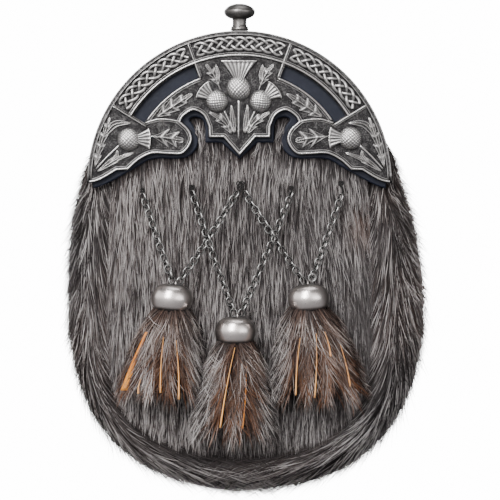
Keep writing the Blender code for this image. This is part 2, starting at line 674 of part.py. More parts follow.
def add_gusset_fur(parts):
    """Fur border: a roll of locks round the leather gusset, from the front seam to the back panel's edge."""
    side_count, bottom_count = ROLL_SIDE_STATIONS, ROLL_BOTTOM_STATIONS // 2
    rows, out = gusset_surface(side_count, bottom_count, (0, 0.25, 0.5, 0.75, 1))
    seam = rows[0][:, (0, 2)]
    seam_out = outward(gusset_line("seam", side_count, bottom_count))
    outer = roll_line(side_count, bottom_count)
    first = int(np.argmax(outer[:, 1] < ROLL_TOP_Z))
    rings = []
    for k in range(first, len(outer) - first):
        near = seam[k] + seam_out[k] * 2.2 * GAP
        ring = [(near[0], FRONT_PANEL_Y[1] - 2 * GAP, near[1])]
        for row in rows:
            point = row[k][[0, 2]] + out[k] * 1.3 * GAP
            ring.append((point[0], row[k][1], point[1]))
        ring.append((ring[-1][0], -0.6 * MM, ring[-1][2]))
        wide = outer[k] - near
        for c, section in reversed(list(enumerate(ROLL_SECTION))):
            lock = lock_swell(k, c) - 0.5
            point = near + wide * section["out"] * (1 + ROLL_LOCK * lock * section["out"])
            deep = section["y"] * MM - LOCK_DEPTH * lock
            room = FLANGE_Y[0] + 2 * GAP - BEHIND_CANTLE_SLOPE * max(0.0, BEHIND_CANTLE_Z - point[1])
            ring.append((point[0], max(deep, room), point[1]))
        rings.append(ring)
    loft("gusset_fur", rings, "grey_fur", parts)


# ---------------------------------------------------------------- cantle

def cantle_edge():
    """The rim's centre line along the cantle's lower edge, from the right outer corner to the tip."""
    return [smooth_run(in_mm(run), 2) for run in CANTLE_EDGE]


def cantle_outline():
    half = joined(arc(CANTLE_RADIUS - RIM / 2, 0, ARC_CORNER), *cantle_edge())
    return grown(joined(half, mirrored(half)), RIM / 2)


def sector(inner, outer, start, end):
    return np.vstack((arc(outer, start, end), arc(inner, end, start)))


def panels():
    """Outlines of the sunk panels: three for the plait, one in each wing and one in the middle."""
    edge = cantle_edge()
    lobe = smooth_run(in_mm(LOBE_EDGE), 2)
    margin = math.degrees(RIM / 2 / KNOT_RADII[1])
    loops = [sector(*KNOT_RADII, margin - DIVIDER, DIVIDER - margin)]
    for side in (1, -1):
        loops.append(sector(*KNOT_RADII, side * (DIVIDER + margin), side * (WING_DIVIDER - margin)))
    wing_top = arc(CANTLE_RADIUS - RIM / 2, WING_DIVIDER, ARC_CORNER)
    wing = grown(joined(wing_top, *edge[:3], lobe), -RIM / 2)
    half = joined(arc(MIDDLE_RADIUS, 0, DIVIDER), arc(LOWER_RADIUS, DIVIDER, WING_DIVIDER - 3.5),
                  lobe[::-1][1:], *edge[3:])
    return loops + [wing, mirrored(wing), grown(joined(half, mirrored(half)), -RIM / 2)]


def windows():
    margin = math.degrees(RIM / 2 / WINDOW_RADII[0])
    start, end = DIVIDER + margin, WING_DIVIDER - margin
    return [sector(*WINDOW_RADII, side * start, side * end) for side in (1, -1)]


def ridge(route, half_width, crest, inset=0.16):
    """A raised stroke with a sharp crest: its foot outline, its crest line and what gives its height."""
    route = np.asarray(route, dtype=float)
    along = np.gradient(route, axis=0)
    across = np.stack((-along[:, 1], along[:, 0]), axis=1)
    across /= np.linalg.norm(across, axis=1)[:, None]
    shape = 0.45 + 0.55 * np.sin(np.linspace(0.2, math.pi - 0.2, len(route)))
    widths = (half_width * shape)[:, None]
    line = route.copy()
    line[0] += (route[1] - route[0]) * inset
    line[-1] += (route[-2] - route[-1]) * inset
    foot = np.vstack((route + across * widths, (route - across * widths)[::-1]))
    return {"foot": foot, "line": line, "route": route, "widths": widths[:, 0],
            "crest": crest, "inset": inset}


def ridge_height(stroke, points):
    """Height of a ridge at points: highest on its line, falling evenly to its foot and over its two ends."""
    best = np.zeros(len(points))
    route, widths = stroke["route"], stroke["widths"]
    last = len(route) - 2
    for k in range(last + 1):
        span = route[k + 1] - route[k]
        t = np.clip((points - route[k]) @ span / (span @ span), 0, 1)
        away = np.linalg.norm(points - route[k] - t[:, None] * span, axis=1)
        width = widths[k] + (widths[k + 1] - widths[k]) * t
        ends = np.ones(len(points))
        if k == 0:
            ends = np.minimum(ends, t / stroke["inset"])
        if k == last:
            ends = np.minimum(ends, (1 - t) / stroke["inset"])
        best = np.maximum(best, stroke["crest"] * np.clip(1 - away / width, 0, 1) * np.clip(ends, 0, 1))
    return best


def on_arc(along, radius, height):
    """A place in a plait panel: length along its middle line and height over it, turned onto the arc."""
    turn = along / radius
    return np.array(((radius + height) * math.sin(turn), ARC_Z + (radius + height) * math.cos(turn)))


def plait_strokes(start, end):
    """The strands' upper passes in one panel: hooks over top and bottom, and slanting strokes between."""
    radius = sum(KNOT_RADII) / 2
    length = math.radians(end - start) * radius - 1.6 * MM
    repeats = int(round(length / PLAIT_PITCH))
    pitch = length / repeats
    first = math.radians(start) * radius + 0.8 * MM
    hook = ((0.02, 0.95), (0.50, 1.45), (1.04, 0.66))
    slant = ((0.24, -0.56), (0.76, 0.56))
    strokes = []
    for k in range(repeats):
        u = first + pitch * k
        strokes.append([on_arc(u + pitch * s, radius, PLAIT_ROW * h) for s, h in hook])
        strokes.append([on_arc(u + pitch * (1 - s), radius, -PLAIT_ROW * h) for s, h in hook])
        if k < repeats - 1:
            strokes.append([on_arc(u + pitch * (s + 0.5), radius, PLAIT_ROW * h) for s, h in slant])
    return [ridge(route, STRAND / 2, PLAIT_HEIGHT, 0.22) for route in strokes]


def all_ridges():
    """Every ridge of the relief: the plait in three panels, and the stems and leaves of both halves."""
    margin = 1.1
    spans = [(margin - DIVIDER, DIVIDER - margin), (DIVIDER + margin, WING_DIVIDER - margin),
             (margin - WING_DIVIDER, -DIVIDER - margin)]
    ridges = [stroke for start, end in spans for stroke in plait_strokes(start, end)]
    for sprig in SPRIGS:
        route = in_mm(sprig["route"])
        for side in (1, -1):
            ridges.append(ridge(route * (side, 1), sprig["half_width"] * MM, SPRIG_HEIGHT))
    ridges.append(ridge(in_mm(((0.0, 7.0), (0.0, -12.0))), 1.1 * MM, SPRIG_HEIGHT))
    return ridges


def crown_outline(head, inset=0.0):
    """A thistle's crown: a fan that opens away from the bulb and ends in a shallow bow."""
    turn = math.radians(head["turn"])
    along = np.array((math.cos(turn), math.sin(turn)))
    side = np.array((-along[1], along[0]))
    fan = ((0.42, -0.30), (1.0, -1.0), (1.06, 0.0), (1.0, 1.0), (0.42, 0.30))
    centre = in_mm((head["x"], head["z"]))
    return grown(np.array([centre + along * head["crown"] * MM * reach + side * head["spread"] * MM * spread
                           for reach, spread in fan]), -inset)


def bulb_height(head, points):
    """A thistle's bulb, as a flattened ball that stands out of the plate."""
    away = np.linalg.norm(points - in_mm((head["x"], head["z"])), axis=1) / (head["bulb"] * MM)
    return BULB_HEIGHT * np.sqrt(np.clip(1 - away ** 2, 0, 1))


def circle(centre, radius, count):
    turn = np.linspace(0, 2 * math.pi, count, endpoint=False)
    return centre + radius * np.stack((np.cos(turn), np.sin(turn)), axis=1)


def holds(loop, points):
    """Which points lie inside a closed outline."""
    inside = np.zeros(len(points), dtype=bool)
    for a, b in zip(loop, np.roll(loop, -1, axis=0)):
        crosses = (a[1] > points[:, 1]) != (b[1] > points[:, 1])
        level = (points[:, 1] - a[1]) / (b[1] - a[1] if b[1] != a[1] else 1.0)
        inside ^= crosses & (points[:, 0] < a[0] + level * (b[0] - a[0]))
    return inside


class Sheet:
    """A flat drawing of points and lines with heights, which is filled with triangles."""

    def __init__(self):
        self.points, self.heights, self.lines = [], [], []

    def add(self, points, height=None, closed=True):
        """Adds a line of points. A height of None is worked out later from the relief."""
        first = len(self.points)
        self.points += [tuple(point) for point in points]
        self.heights += [height] * len(points)
        self.lines += [(first + k, first + k + 1) for k in range(len(points) - 1)]
        if closed:
            self.lines.append((first + len(points) - 1, first))
        return first

    def fill(self, outline, holes, relief):
        """Triangles over the outline, its points with their heights, and where each drawn point went."""
        places = [Vector(point) / MM for point in self.points]
        found = delaunay_2d_cdt(places, self.lines, [], 1, 1e-4)
        flat = np.array([tuple(v) for v in found[0]]) * MM
        middles = np.array([np.mean([flat[k] for k in face], axis=0) for face in found[2]])
        keep = holds(outline, middles)
        for hole in holes:
            keep &= ~holds(hole, middles)
        heights = relief(flat)
        home = {}
        for k, sources in enumerate(found[3]):
            for source in sources:
                home[source] = k
                if self.heights[source] is not None:
                    heights[k] = self.heights[source]
        return flat, heights, [face for face, kept in zip(found[2], keep) if kept], home


def relief_height(points):
    """Height over the sunk floor: the tallest ridge, bulb or crown at each point."""
    best = np.zeros(len(points))
    for stroke in all_ridges():
        best = np.maximum(best, ridge_height(stroke, points))
    for head in THISTLES:
        inner = holds(crown_outline(head, 0.9 * CROWN_BEVEL), points)
        best = np.maximum(best, np.where(inner, CROWN_HEIGHT, 0))
        best = np.maximum(best, bulb_height(head, points))
    return best


def cantle_front(outline, holes):
    """Front of the cantle: raised rims round sunk panels, and the relief that stands in them."""
    sheet = Sheet()
    loops = [sheet.add(outline, RIM_HEIGHT)] + [sheet.add(hole, RIM_HEIGHT) for hole in holes]
    for panel in panels():
        sheet.add(panel, RIM_HEIGHT)
        sheet.add(grown(panel, -RIM_DRAFT), 0.0)
    for stroke in all_ridges():
        sheet.add(stroke["foot"])
        sheet.add(stroke["line"], closed=False)
    for head in THISTLES:
        centre = in_mm((head["x"], head["z"]))
        for share, count in ((1.0, 12), (0.84, 10), (0.5, 6)):
            sheet.add(circle(centre, head["bulb"] * MM * share, count))
        sheet.add(crown_outline(head))
        sheet.add(crown_outline(head, CROWN_BEVEL))
    return sheet.fill(outline, holes, relief_height), loops


def cantle_back(outline, holes):
    """Back of the cantle: flat, with a flange that reaches back round the arc and slopes away at its ends."""
    depth = PLATE_Y[1] - FLANGE_Y[0]
    turn = np.degrees(np.arctan2(np.abs(outline[:, 0]), outline[:, 1] - ARC_Z))
    from_centre = np.hypot(outline[:, 0], outline[:, 1] - ARC_Z)
    on_flange = (from_centre > CANTLE_RADIUS - 0.4 * MM) & (turn < FLANGE_END + 0.1)
    sheet = Sheet()
    loops = [sheet.add(outline)] + [sheet.add(hole) for hole in holes]
    for k, flanged in enumerate(on_flange):
        sheet.heights[loops[0] + k] = depth if flanged else PLATE_Y[1] - PLATE_Y[0]
    inner = sheet.add(arc(POUCH_RADIUS + GAP, -FLANGE_END, FLANGE_END), depth, closed=False)
    last = len(sheet.points) - 1
    sheet.add(arc(POUCH_RADIUS + GAP - RIM_DRAFT, -FLANGE_END - 2, FLANGE_END + 2), closed=False)
    ends = np.nonzero(on_flange)[0]
    side = outline[ends][:, 0]
    sheet.lines.append((inner, loops[0] + int(ends[np.argmin(side)])))
    sheet.lines.append((last, loops[0] + int(ends[np.argmax(side)])))
    return sheet.fill(outline, holes, lambda points: np.full(len(points), PLATE_Y[1] - PLATE_Y[0])), loops


def add_cantle(parts):
    """Cast plate: pierced by two windows, with a flange round the arc, raised rims, plait and thistles."""
    outline, holes = cantle_outline(), windows()
    (flat, heights, faces, home), loops = cantle_front(outline, holes)
    points = [(x, PLATE_Y[1] - h, z) for (x, z), h in zip(flat, heights)]
    (back_flat, back_heights, back_faces, back_home), back_loops = cantle_back(outline, holes)
    first = len(points)
    points += [(x, PLATE_Y[1] - h, z) for (x, z), h in zip(back_flat, back_heights)]
    faces = list(faces) + [tuple(first + k for k in face)[::-1] for face in back_faces]
    for loop, start, back_start in zip([outline] + holes, loops, back_loops):
        for k in range(len(loop)):
            n = (k + 1) % len(loop)
            faces.append((home[start + k], home[start + n],
                          first + back_home[back_start + n], first + back_home[back_start + k]))
    from_faces("cantle", points, faces, "pewter", parts)


# ---------------------------------------------------------------- knob, tassels and chains

def add_knob(parts):
    """Turned knob on top of the cantle: a foot, a neck and an oval head."""
    base = ARC_Z + CANTLE_RADIUS + GAP
    head = [(KNOB_HEAD / 2 * math.sin(a), KNOB_HEIGHT - KNOB_HEAD_HALF * (1 - math.cos(a)))
            for a in np.linspace(0, math.radians(152), 8)]
    neck = in_mm(((3.6, 5.2), (3.5, 2.6), (4.2, 1.7), (4.2, 0.0), (0.0, 0.0)))
    knob = turned("knob", head + [tuple(p) for p in neck], 16, "pewter", parts)
    knob.location = (0, KNOB_Y, base)


def cap_place(tassel):
    turn = Matrix.Rotation(math.radians(tassel["tilt"]), 4, "Y")
    return Matrix.Translation((tassel["x"] * MM, CAP_Y, tassel["z"] * MM)) @ turn


def add_cap(tassel, parts, guides):
    """Barrel-shaped metal cap, open below, with a wire eye on top."""
    half, wide = CAP_HEIGHT / 2, CAP_WIDTH / 2
    outer = [(0.0, half)]
    for a in np.radians((36, 58, 90, 118, 140)):
        outer.append((wide * math.sin(a) ** 0.62, half * math.cos(a) * 1.02))
    low = (outer[-1][0] - 0.4 * MM, -half)
    inner = [(low[0] - CAP_WALL, -half), (wide - 1.8 * CAP_WALL, -0.5 * half),
             (wide - 2.2 * CAP_WALL, 0.35 * half), (0.0, half - 2 * CAP_WALL)]
    cap = turned("tassel_cap_" + tassel["name"], outer + [low] + inner, 16, "satin_pewter", parts)
    cap.matrix_world = cap_place(tassel)

    def eye_point(a, b):
        reach = EYE_RADIUS + EYE_WIRE * math.cos(b)
        return EYE_WIRE * math.sin(b), reach * math.cos(a), half + EYE_RISE + reach * math.sin(a)

    eye = wire_ring("eye_" + tassel["name"], eye_point, 10, 5, "satin_pewter", guides)
    eye.matrix_world = cap_place(tassel)
    unite(cap, [eye], guides)


def add_skirt(tassel, parts):
    """Fur of one tassel: a neck in the cap, then locks that spread and end in points at uneven heights."""
    place_cap = cap_place(tassel)
    top = tassel["z"] * MM - CAP_HEIGHT / 2
    end = tassel["skirt_end"] * MM
    rings = []
    for level in (NECK_TOP, -CAP_HEIGHT / 2 - 2 * GAP):
        ring = []
        for k in range(SKIRT_SIDES):
            a = 2 * math.pi * k / SKIRT_SIDES
            spot = Vector((NECK_RADIUS * math.cos(a), NECK_RADIUS * math.sin(a), level))
            ring.append(tuple(place_cap @ spot))
        rings.append(ring)
    for level in SKIRT_RINGS:
        fall = level["fall"]
        middle = (tassel["x"] + (tassel["skirt_x"] - tassel["x"]) * fall) * MM
        ring = []
        for k in range(SKIRT_SIDES):
            a = 2 * math.pi * k / SKIRT_SIDES
            lock = 1.0 + (SKIRT_LOCK if k % 2 else -SKIRT_LOCK) * min(1.0, 2 * fall)
            x = middle + tassel["skirt_half"] * MM * level["spread"] * lock * math.cos(a)
            y = CAP_Y + SKIRT_HALF_DEPTH * lock * math.sin(a)
            z = top - SKIRT_GAP + (end - top) * fall
            if level is SKIRT_RINGS[-1]:
                z += SKIRT_TIP * (lock_shift(k) * 0.4 if k % 2 else 1.0)
            ring.append((x, y, z))
        rings.append(ring)
    loft("tassel_fur_" + tassel["name"], rings, "tassel_fur", parts)


def skirt_front(tassel, x, z):
    """How far forward the tassel's fur reaches at a place, with its locks' height added."""
    top = tassel["z"] * MM - CAP_HEIGHT / 2
    fall = min(max((top - z) / (top - tassel["skirt_end"] * MM), 0), 1)
    middle = (tassel["x"] + (tassel["skirt_x"] - tassel["x"]) * fall) * MM
    half = tassel["skirt_half"] * MM * (0.62 + 0.42 * fall)
    out = min(abs(x - middle) / half, 0.98)
    return CAP_Y - 9.4 * MM * math.sqrt(1 - out ** 2) * (0.94 + 0.06 * fall) - 2 * GAP


def add_strips(parts):
    """Cut edges of the hide strips, which show tan between the locks of the tassels."""
    homes = {tassel["name"]: tassel for tassel in TASSELS}
    for strip in STRIPS:
        tassel = homes[strip["tassel"]]
        top, end = in_mm(strip["top"]), in_mm(strip["end"])
        half = strip["width"] / 2 * MM
        rings = []
        for t in (0.0, 0.35, 0.7, 1.0):
            spot = top + (end - top) * t
            y = skirt_front(tassel, spot[0], spot[1])
            wide = half * (0.6 + 0.4 * min(1.0, 2 * t))
            corners = ((-wide, 0), (wide, 0), (wide, -1.0 * MM), (-wide, -1.0 * MM))
            rings.append([(spot[0] + dx, y + dy, spot[1]) for dx, dy in corners])
        loft(strip["name"], rings, "tan_hide", parts)


def chain_route(chain):
    """A chain's line from its tie to its cap: a slight sag, and a bow forwards where it crosses another."""
    tassel = {t["name"]: t for t in TASSELS}[chain["cap"]]
    eye = cap_place(tassel) @ Vector((chain["side"] * 1.9 * MM, 0, CAP_HEIGHT / 2 + 2.9 * MM))
    top = np.array((chain["top"][0] * MM, TIE_Y - 2.0 * MM, chain["top"][1] * MM))
    end = np.array(eye)
    route = []
    for t in np.linspace(0, 1, 8):
        point = top + (end - top) * t
        point[2] -= 0.9 * MM * math.sin(math.pi * t)
        point[1] -= chain["lift"] * MM * math.sin(math.pi * t) ** 2
        route.append(point)
    return np.array(route)


def add_chains(parts):
    for chain in CHAINS:
        tube(chain["name"], chain_route(chain), CHAIN_WIDTH / 2, "chain_metal", parts)


def add_ties(parts):
    """Black thread loops that hold the chains to the fur's upper part."""
    for tie in TIES:
        def tie_point(a, b):
            reach = 1 + TIE_THREAD / TIE_HEIGHT * math.cos(b)
            x = (tie["x"] + tie["half_width"] * reach * math.cos(a)) * MM
            return x, TIE_Y + TIE_THREAD * math.sin(b), TIE_Z + TIE_HEIGHT * reach * math.sin(a)

        wire_ring(tie["name"], tie_point, 8, 4, "black_thread", parts)


def main():
    clear_scene()
    parts = make_collection("sporran_pouch")
    guides = make_collection("guides")
    add_panels(parts)
    add_side_gusset(parts)
    add_top_gusset(parts)
    add_backing(parts)
    add_back_fittings(parts)
    add_front_fur(parts)
    add_gusset_fur(parts)
    add_cantle(parts)
    add_knob(parts)
    for tassel in TASSELS:
        add_cap(tassel, parts, guides)
        add_skirt(tassel, parts)
    add_strips(parts)
    add_chains(parts)
    add_ties(parts)


main()
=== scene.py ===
import bmesh
import bpy
import numpy as np
from mathutils import Matrix, Vector


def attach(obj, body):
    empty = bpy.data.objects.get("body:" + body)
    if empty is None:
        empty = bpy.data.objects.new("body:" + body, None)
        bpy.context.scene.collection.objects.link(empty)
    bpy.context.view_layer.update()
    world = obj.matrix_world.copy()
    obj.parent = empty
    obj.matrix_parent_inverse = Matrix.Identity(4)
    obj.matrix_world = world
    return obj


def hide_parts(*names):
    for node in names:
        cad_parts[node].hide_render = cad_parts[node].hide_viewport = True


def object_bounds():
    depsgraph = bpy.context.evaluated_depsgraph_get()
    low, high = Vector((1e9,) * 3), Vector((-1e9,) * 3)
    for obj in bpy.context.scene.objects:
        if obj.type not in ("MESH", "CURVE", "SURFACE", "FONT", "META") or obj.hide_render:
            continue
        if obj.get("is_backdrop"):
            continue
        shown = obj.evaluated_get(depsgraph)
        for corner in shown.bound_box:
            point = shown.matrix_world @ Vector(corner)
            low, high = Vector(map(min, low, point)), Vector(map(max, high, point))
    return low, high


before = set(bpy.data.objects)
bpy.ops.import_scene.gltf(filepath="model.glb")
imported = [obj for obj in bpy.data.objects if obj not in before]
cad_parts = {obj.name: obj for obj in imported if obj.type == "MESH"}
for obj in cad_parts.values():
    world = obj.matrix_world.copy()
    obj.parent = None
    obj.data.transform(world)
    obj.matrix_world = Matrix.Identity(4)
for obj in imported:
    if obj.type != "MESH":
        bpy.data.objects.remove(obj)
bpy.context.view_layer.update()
MM = 0.001
rng = np.random.default_rng(1745)

# %% [markdown]
# ## The camera and the studio
# The photograph looks straight at the front, so the camera stands level with the middle of the pouch. A long
# lens from far away keeps the sides from closing in. Its frame is 250 mm wide where the pouch hangs.
# %% Camera
FRAME_WIDTH = 250.0
FRAME_CENTRE = (5.25, -67.5)
SUBJECT_Y = -46.0
CAMERA_DISTANCE = 1400.0

camera_data = bpy.data.cameras.new("camera")
camera_data.sensor_width = 36.0
camera_data.lens = camera_data.sensor_width * CAMERA_DISTANCE / FRAME_WIDTH
camera_data.clip_start, camera_data.clip_end = 0.05, 20.0
camera = bpy.data.objects.new("camera", camera_data)
camera.location = (FRAME_CENTRE[0] * MM, (SUBJECT_Y - CAMERA_DISTANCE) * MM, FRAME_CENTRE[1] * MM)
camera.rotation_euler = (np.pi / 2, 0.0, 0.0)
bpy.context.scene.collection.objects.link(camera)
bpy.context.scene.camera = camera
print("lens", round(camera_data.lens, 1), "mm")

# %% [markdown]
# Meshes made from arrays need one helper. `put` takes points in millimetres and faces as rows of point
# numbers, and writes both with `foreach_set`, which is much faster than adding them one by one. Values that
# belong to a point, such as how pale a hair is, become named attributes that a material can read.
# %% Helpers that turn arrays into pieces
def put(name, points, faces, finish, values=None, smooth=True):
    """A mesh object from points in mm and a list of face arrays, each with one number of corners."""
    mesh = bpy.data.meshes.new(name)
    faces = [np.asarray(rows, dtype=np.int32) for rows in faces if len(rows)]
    sizes = np.concatenate([np.full(len(rows), rows.shape[1]) for rows in faces])
    mesh.vertices.add(len(points))
    mesh.vertices.foreach_set("co", (np.asarray(points, dtype=np.float64) * MM).astype(np.float32).ravel())
    mesh.loops.add(int(sizes.sum()))
    mesh.loops.foreach_set("vertex_index", np.concatenate([rows.ravel() for rows in faces]))
    mesh.polygons.add(len(sizes))
    mesh.polygons.foreach_set("loop_start", np.concatenate(([0], np.cumsum(sizes)[:-1])).astype(np.int32))
    mesh.polygons.foreach_set("use_smooth", np.full(len(sizes), smooth))
    for key, array in (values or {}).items():
        attribute = mesh.attributes.new(key, "FLOAT", "POINT")
        attribute.data.foreach_set("value", np.asarray(array, dtype=np.float32).ravel())
    mesh.update(calc_edges=True)
    mesh.materials.append(finish)
    piece = bpy.data.objects.new(name, mesh)
    bpy.context.scene.collection.objects.link(piece)
    return piece


def quads(rows, columns, loop_rows=False, loop_columns=False):
    """Faces of a grid of points: each joins (r, c), (r, c+1), (r+1, c+1) and (r+1, c); a looped side
    closes."""
    r, c = np.meshgrid(np.arange(rows if loop_rows else rows - 1),
                       np.arange(columns if loop_columns else columns - 1), indexing="ij")
    r, c = r.ravel(), c.ravel()
    below, beside = (r + 1) % rows, (c + 1) % columns
    corners = (r * columns + c, r * columns + beside, below * columns + beside, below * columns + c)
    return np.stack(corners, axis=1)


# %% [markdown]
# Most pieces are closed shells: rings of points, one behind the other. `Shells` gathers many of them in one
# mesh and turns each by the sign of its volume, so that all faces point outwards. `ride` then does what
# every piece needs: it joins the piece to the pouch's one body and hides the CAD solids that it stands for.
# %% Shells that are gathered in one piece
def volume_sign(points, faces):
    """Sign of the enclosed volume: the sum over fans of triangles of a . (b x c), where faces point out."""
    total = 0.0
    for rows in faces:
        for k in range(1, rows.shape[1] - 1):
            a, b, c = (points[rows[:, j]] for j in (0, k, k + 1))
            total += np.einsum("ij,ij->", a, np.cross(b, c))
    return np.sign(total)


class Shells:
    """Gathers many closed grids into one mesh, each turned so that its faces point outwards."""

    def __init__(self):
        self.points, self.values, self.faces, self.count = [], [], {}, 0

    def add(self, grid, values=0.0, loop_rows=False, caps=True):
        """Adds a grid of rings (rows of points). Rings close on themselves, and two caps close the ends."""
        rows, columns = grid.shape[:2]
        points = grid.reshape(-1, 3)
        sets = [quads(rows, columns, loop_rows, True)]
        if caps and not loop_rows:
            sets.append(np.array([np.arange(columns)[::-1], np.arange(columns) + (rows - 1) * columns]))
        if volume_sign(points - points.mean(0), sets) < 0:
            sets = [corners[:, ::-1] for corners in sets]
        for corners in sets:
            self.faces.setdefault(corners.shape[1], []).append(corners + self.count)
        self.points.append(points)
        self.values.append(np.broadcast_to(values, grid.shape[:2]).ravel())
        self.count += len(points)

    def make(self, name, finish, key="crest", smooth=True):
        """The gathered shells as one piece, with their values in one attribute."""
        faces = [np.concatenate(parts) for parts in self.faces.values()]
        return put(name, np.concatenate(self.points), faces, finish, {key: np.concatenate(self.values)},
                   smooth)


def ride(piece, slot, *nodes):
    """Every piece of this object rides on its one body; nodes are the CAD solids that it stands for."""
    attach(piece, "root")
    if nodes:
        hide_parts(*nodes)
    print(piece.name, len(piece.data.vertices), "points", len(piece.data.polygons), "faces")
    return piece


# %% [markdown]
# ## Finishes
# A finish is a small tree of nodes round one Principled shader. Effects that several finishes share are
# node groups with named inputs: the colour of a hair from how pale and how warm it is, the dark patina that
# stays in the hollows of cast metal, and the grain of leather. Each material places a group with its own
# values.
# %% Helpers for nodes
def new_group(name, inputs, outputs):
    """A shader group with inputs {name: default} and outputs {name: socket type}."""
    tree = bpy.data.node_groups.new(name, "ShaderNodeTree")
    for key, value in inputs.items():
        kind = "NodeSocketColor" if isinstance(value, tuple) else "NodeSocketFloat"
        tree.interface.new_socket(name=key, in_out="INPUT", socket_type=kind).default_value = value
    for key, kind in outputs.items():
        tree.interface.new_socket(name=key, in_out="OUTPUT", socket_type="NodeSocket" + kind)
    return tree, tree.nodes.new("NodeGroupInput").outputs, tree.nodes.new("NodeGroupOutput").inputs


def add(tree, kind, links=None, **settings):
    """A node with its settings; links gives an input a value or joins it to another node's output."""
    node = tree.nodes.new("ShaderNode" + kind)
    for key, value in settings.items():
        setattr(node, key, value)
    for key, source in (links or {}).items():
        if isinstance(source, bpy.types.NodeSocket):
            tree.links.new(source, node.inputs[key])
        else:
            node.inputs[key].default_value = source
    return node


def mix(tree, share, first, second):
    """The colour between two colours by a share from 0 to 1. A Mix node's colours are its sockets 6 and 7."""
    return add(tree, "Mix", {0: share, 6: first, 7: second}, data_type="RGBA").outputs[2]


def reckon(tree, operation, *numbers, clamp=False):
    """The result of a Math node. Each number is a plain value or another node's output."""
    return add(tree, "Math", dict(enumerate(numbers)), operation=operation, use_clamp=clamp).outputs[0]


def painted(tree, name):
    """The value that a mesh carries at each of its points under a name."""
    return add(tree, "Attribute", attribute_name=name).outputs["Fac"]


def span(tree, value, low, high, to_low=0.0, to_high=1.0):
    """A value's place between low and high, carried over to another range and kept inside it."""
    links = {"Value": value, "From Min": low, "From Max": high, "To Min": to_low, "To Max": to_high}
    return add(tree, "MapRange", links, interpolation_type="SMOOTHSTEP").outputs["Result"]


def noise(tree, scale, detail=3.0):
    """Fractal noise over the object's own coordinates."""
    place = add(tree, "TexCoord").outputs["Object"]
    return add(tree, "TexNoise", {"Vector": place, "Scale": scale, "Detail": detail}).outputs["Fac"]


def material(name, **sockets):
    """A material with one Principled shader, whose named sockets take plain values:
    Specular_IOR_Level=0.2."""
    made = bpy.data.materials.new(name)
    made.use_nodes = True
    shader = made.node_tree.nodes["Principled BSDF"]
    for key, value in sockets.items():
        shader.inputs[key.replace("_", " ")].default_value = value
    return made, made.node_tree, shader


def dress(tree, shader, colour, rough=None, height=None, depth=0.0):
    """Joins a colour, a roughness and a height to the shader; a Bump node reads the height, depth is in
    metres."""
    tree.links.new(colour, shader.inputs["Base Color"])
    if rough:
        tree.links.new(rough, shader.inputs["Roughness"])
    if height:
        links = {"Height": height, "Distance": depth, "Strength": 1.0}
        tree.links.new(add(tree, "Bump", links).outputs["Normal"], shader.inputs["Normal"])


def opaque(colour):
    """A colour of three numbers with the alpha that a socket wants."""
    return (*colour, 1.0)


# %% [markdown]
# A hair of this pelt is dark at the root and paler towards the tip, and many of the long guard hairs are
# nearly white. `tone` says how pale a point is and `warm` how far it turns to rust brown, so one material
# serves every hair of a pelt.
# %% Fur colours
BLACK, WHITE = (0.0, 0.0, 0.0, 1.0), (1.0, 1.0, 1.0, 1.0)

tree, given, out = new_group("fur_colours", {"Tone": 0.5, "Warm": 0.0, "Dark": BLACK, "Middle": BLACK,
                                             "Pale": BLACK, "Rust": BLACK}, {"Colour": "Color"})
low = mix(tree, span(tree, given["Tone"], 0.0, 0.5), given["Dark"], given["Middle"])
grey = mix(tree, span(tree, given["Tone"], 0.45, 1.0), low, given["Pale"])
warm = reckon(tree, "MULTIPLY", given["Warm"], 1.0, clamp=True)
rust = mix(tree, given["Tone"], given["Dark"], given["Rust"])
tree.links.new(mix(tree, warm, grey, rust), out["Colour"])
FUR_GROUP = tree


def fur_material(name, dark, middle, pale, rust):
    """Fur: the group gives the colour from `tone` and `warm`, and pale hairs are a little smoother than
    dark."""
    made, tree, shader = material(name, Roughness=0.62, Specular_IOR_Level=0.16)
    tone = painted(tree, "tone")
    colours = add(tree, "Group", {"Tone": tone, "Warm": painted(tree, "warm"), "Dark": opaque(dark),
                                  "Middle": opaque(middle), "Pale": opaque(pale), "Rust": opaque(rust)},
                  node_tree=FUR_GROUP)
    dress(tree, shader, colours.outputs["Colour"], span(tree, tone, 0.0, 1.0, 0.75, 0.5))
    return made


grey_fur = fur_material("grey_fur", (0.010, 0.008, 0.008), (0.064, 0.058, 0.059), (0.520, 0.490, 0.480),
                        (0.200, 0.100, 0.065))
tassel_fur = fur_material("tassel_fur", (0.008, 0.006, 0.006), (0.066, 0.058, 0.057), (0.560, 0.530, 0.515),
                          (0.260, 0.105, 0.045))
print("fur:", grey_fur.name, tassel_fur.name)

# %% [markdown]
# Antique pewter is blackened all over and then polished, so its high places are bright and its hollows stay
# dark. Each point of the cast pieces carries `crest`, from 0 in a hollow to 1 on a worn edge. Noise moves the
# border between the two, most of all on middling heights, so that the polish looks rubbed on by hand.
# %% Patina
tree, given, out = new_group("patina", {"Crest": 1.0, "Hollow": BLACK, "Polished": WHITE, "Rough": 0.6,
                                        "Smooth": 0.3, "Mottle": 1.0},
                             {"Colour": "Color", "Roughness": "Float", "Height": "Float"})
cloud, broad, pits = noise(tree, 1700.0, 3.0), noise(tree, 330.0, 3.0), noise(tree, 4200.0, 2.0)
patches = reckon(tree, "ADD", reckon(tree, "MULTIPLY_ADD", cloud, 1.8, broad), -1.4)
shy = reckon(tree, "MULTIPLY", reckon(tree, "SUBTRACT", 1.1, given["Crest"], clamp=True), given["Mottle"])
worn = reckon(tree, "MULTIPLY_ADD", patches, shy, given["Crest"], clamp=True)
polish = reckon(tree, "POWER", worn, 1.5)
tree.links.new(mix(tree, polish, given["Hollow"], given["Polished"]), out["Colour"])
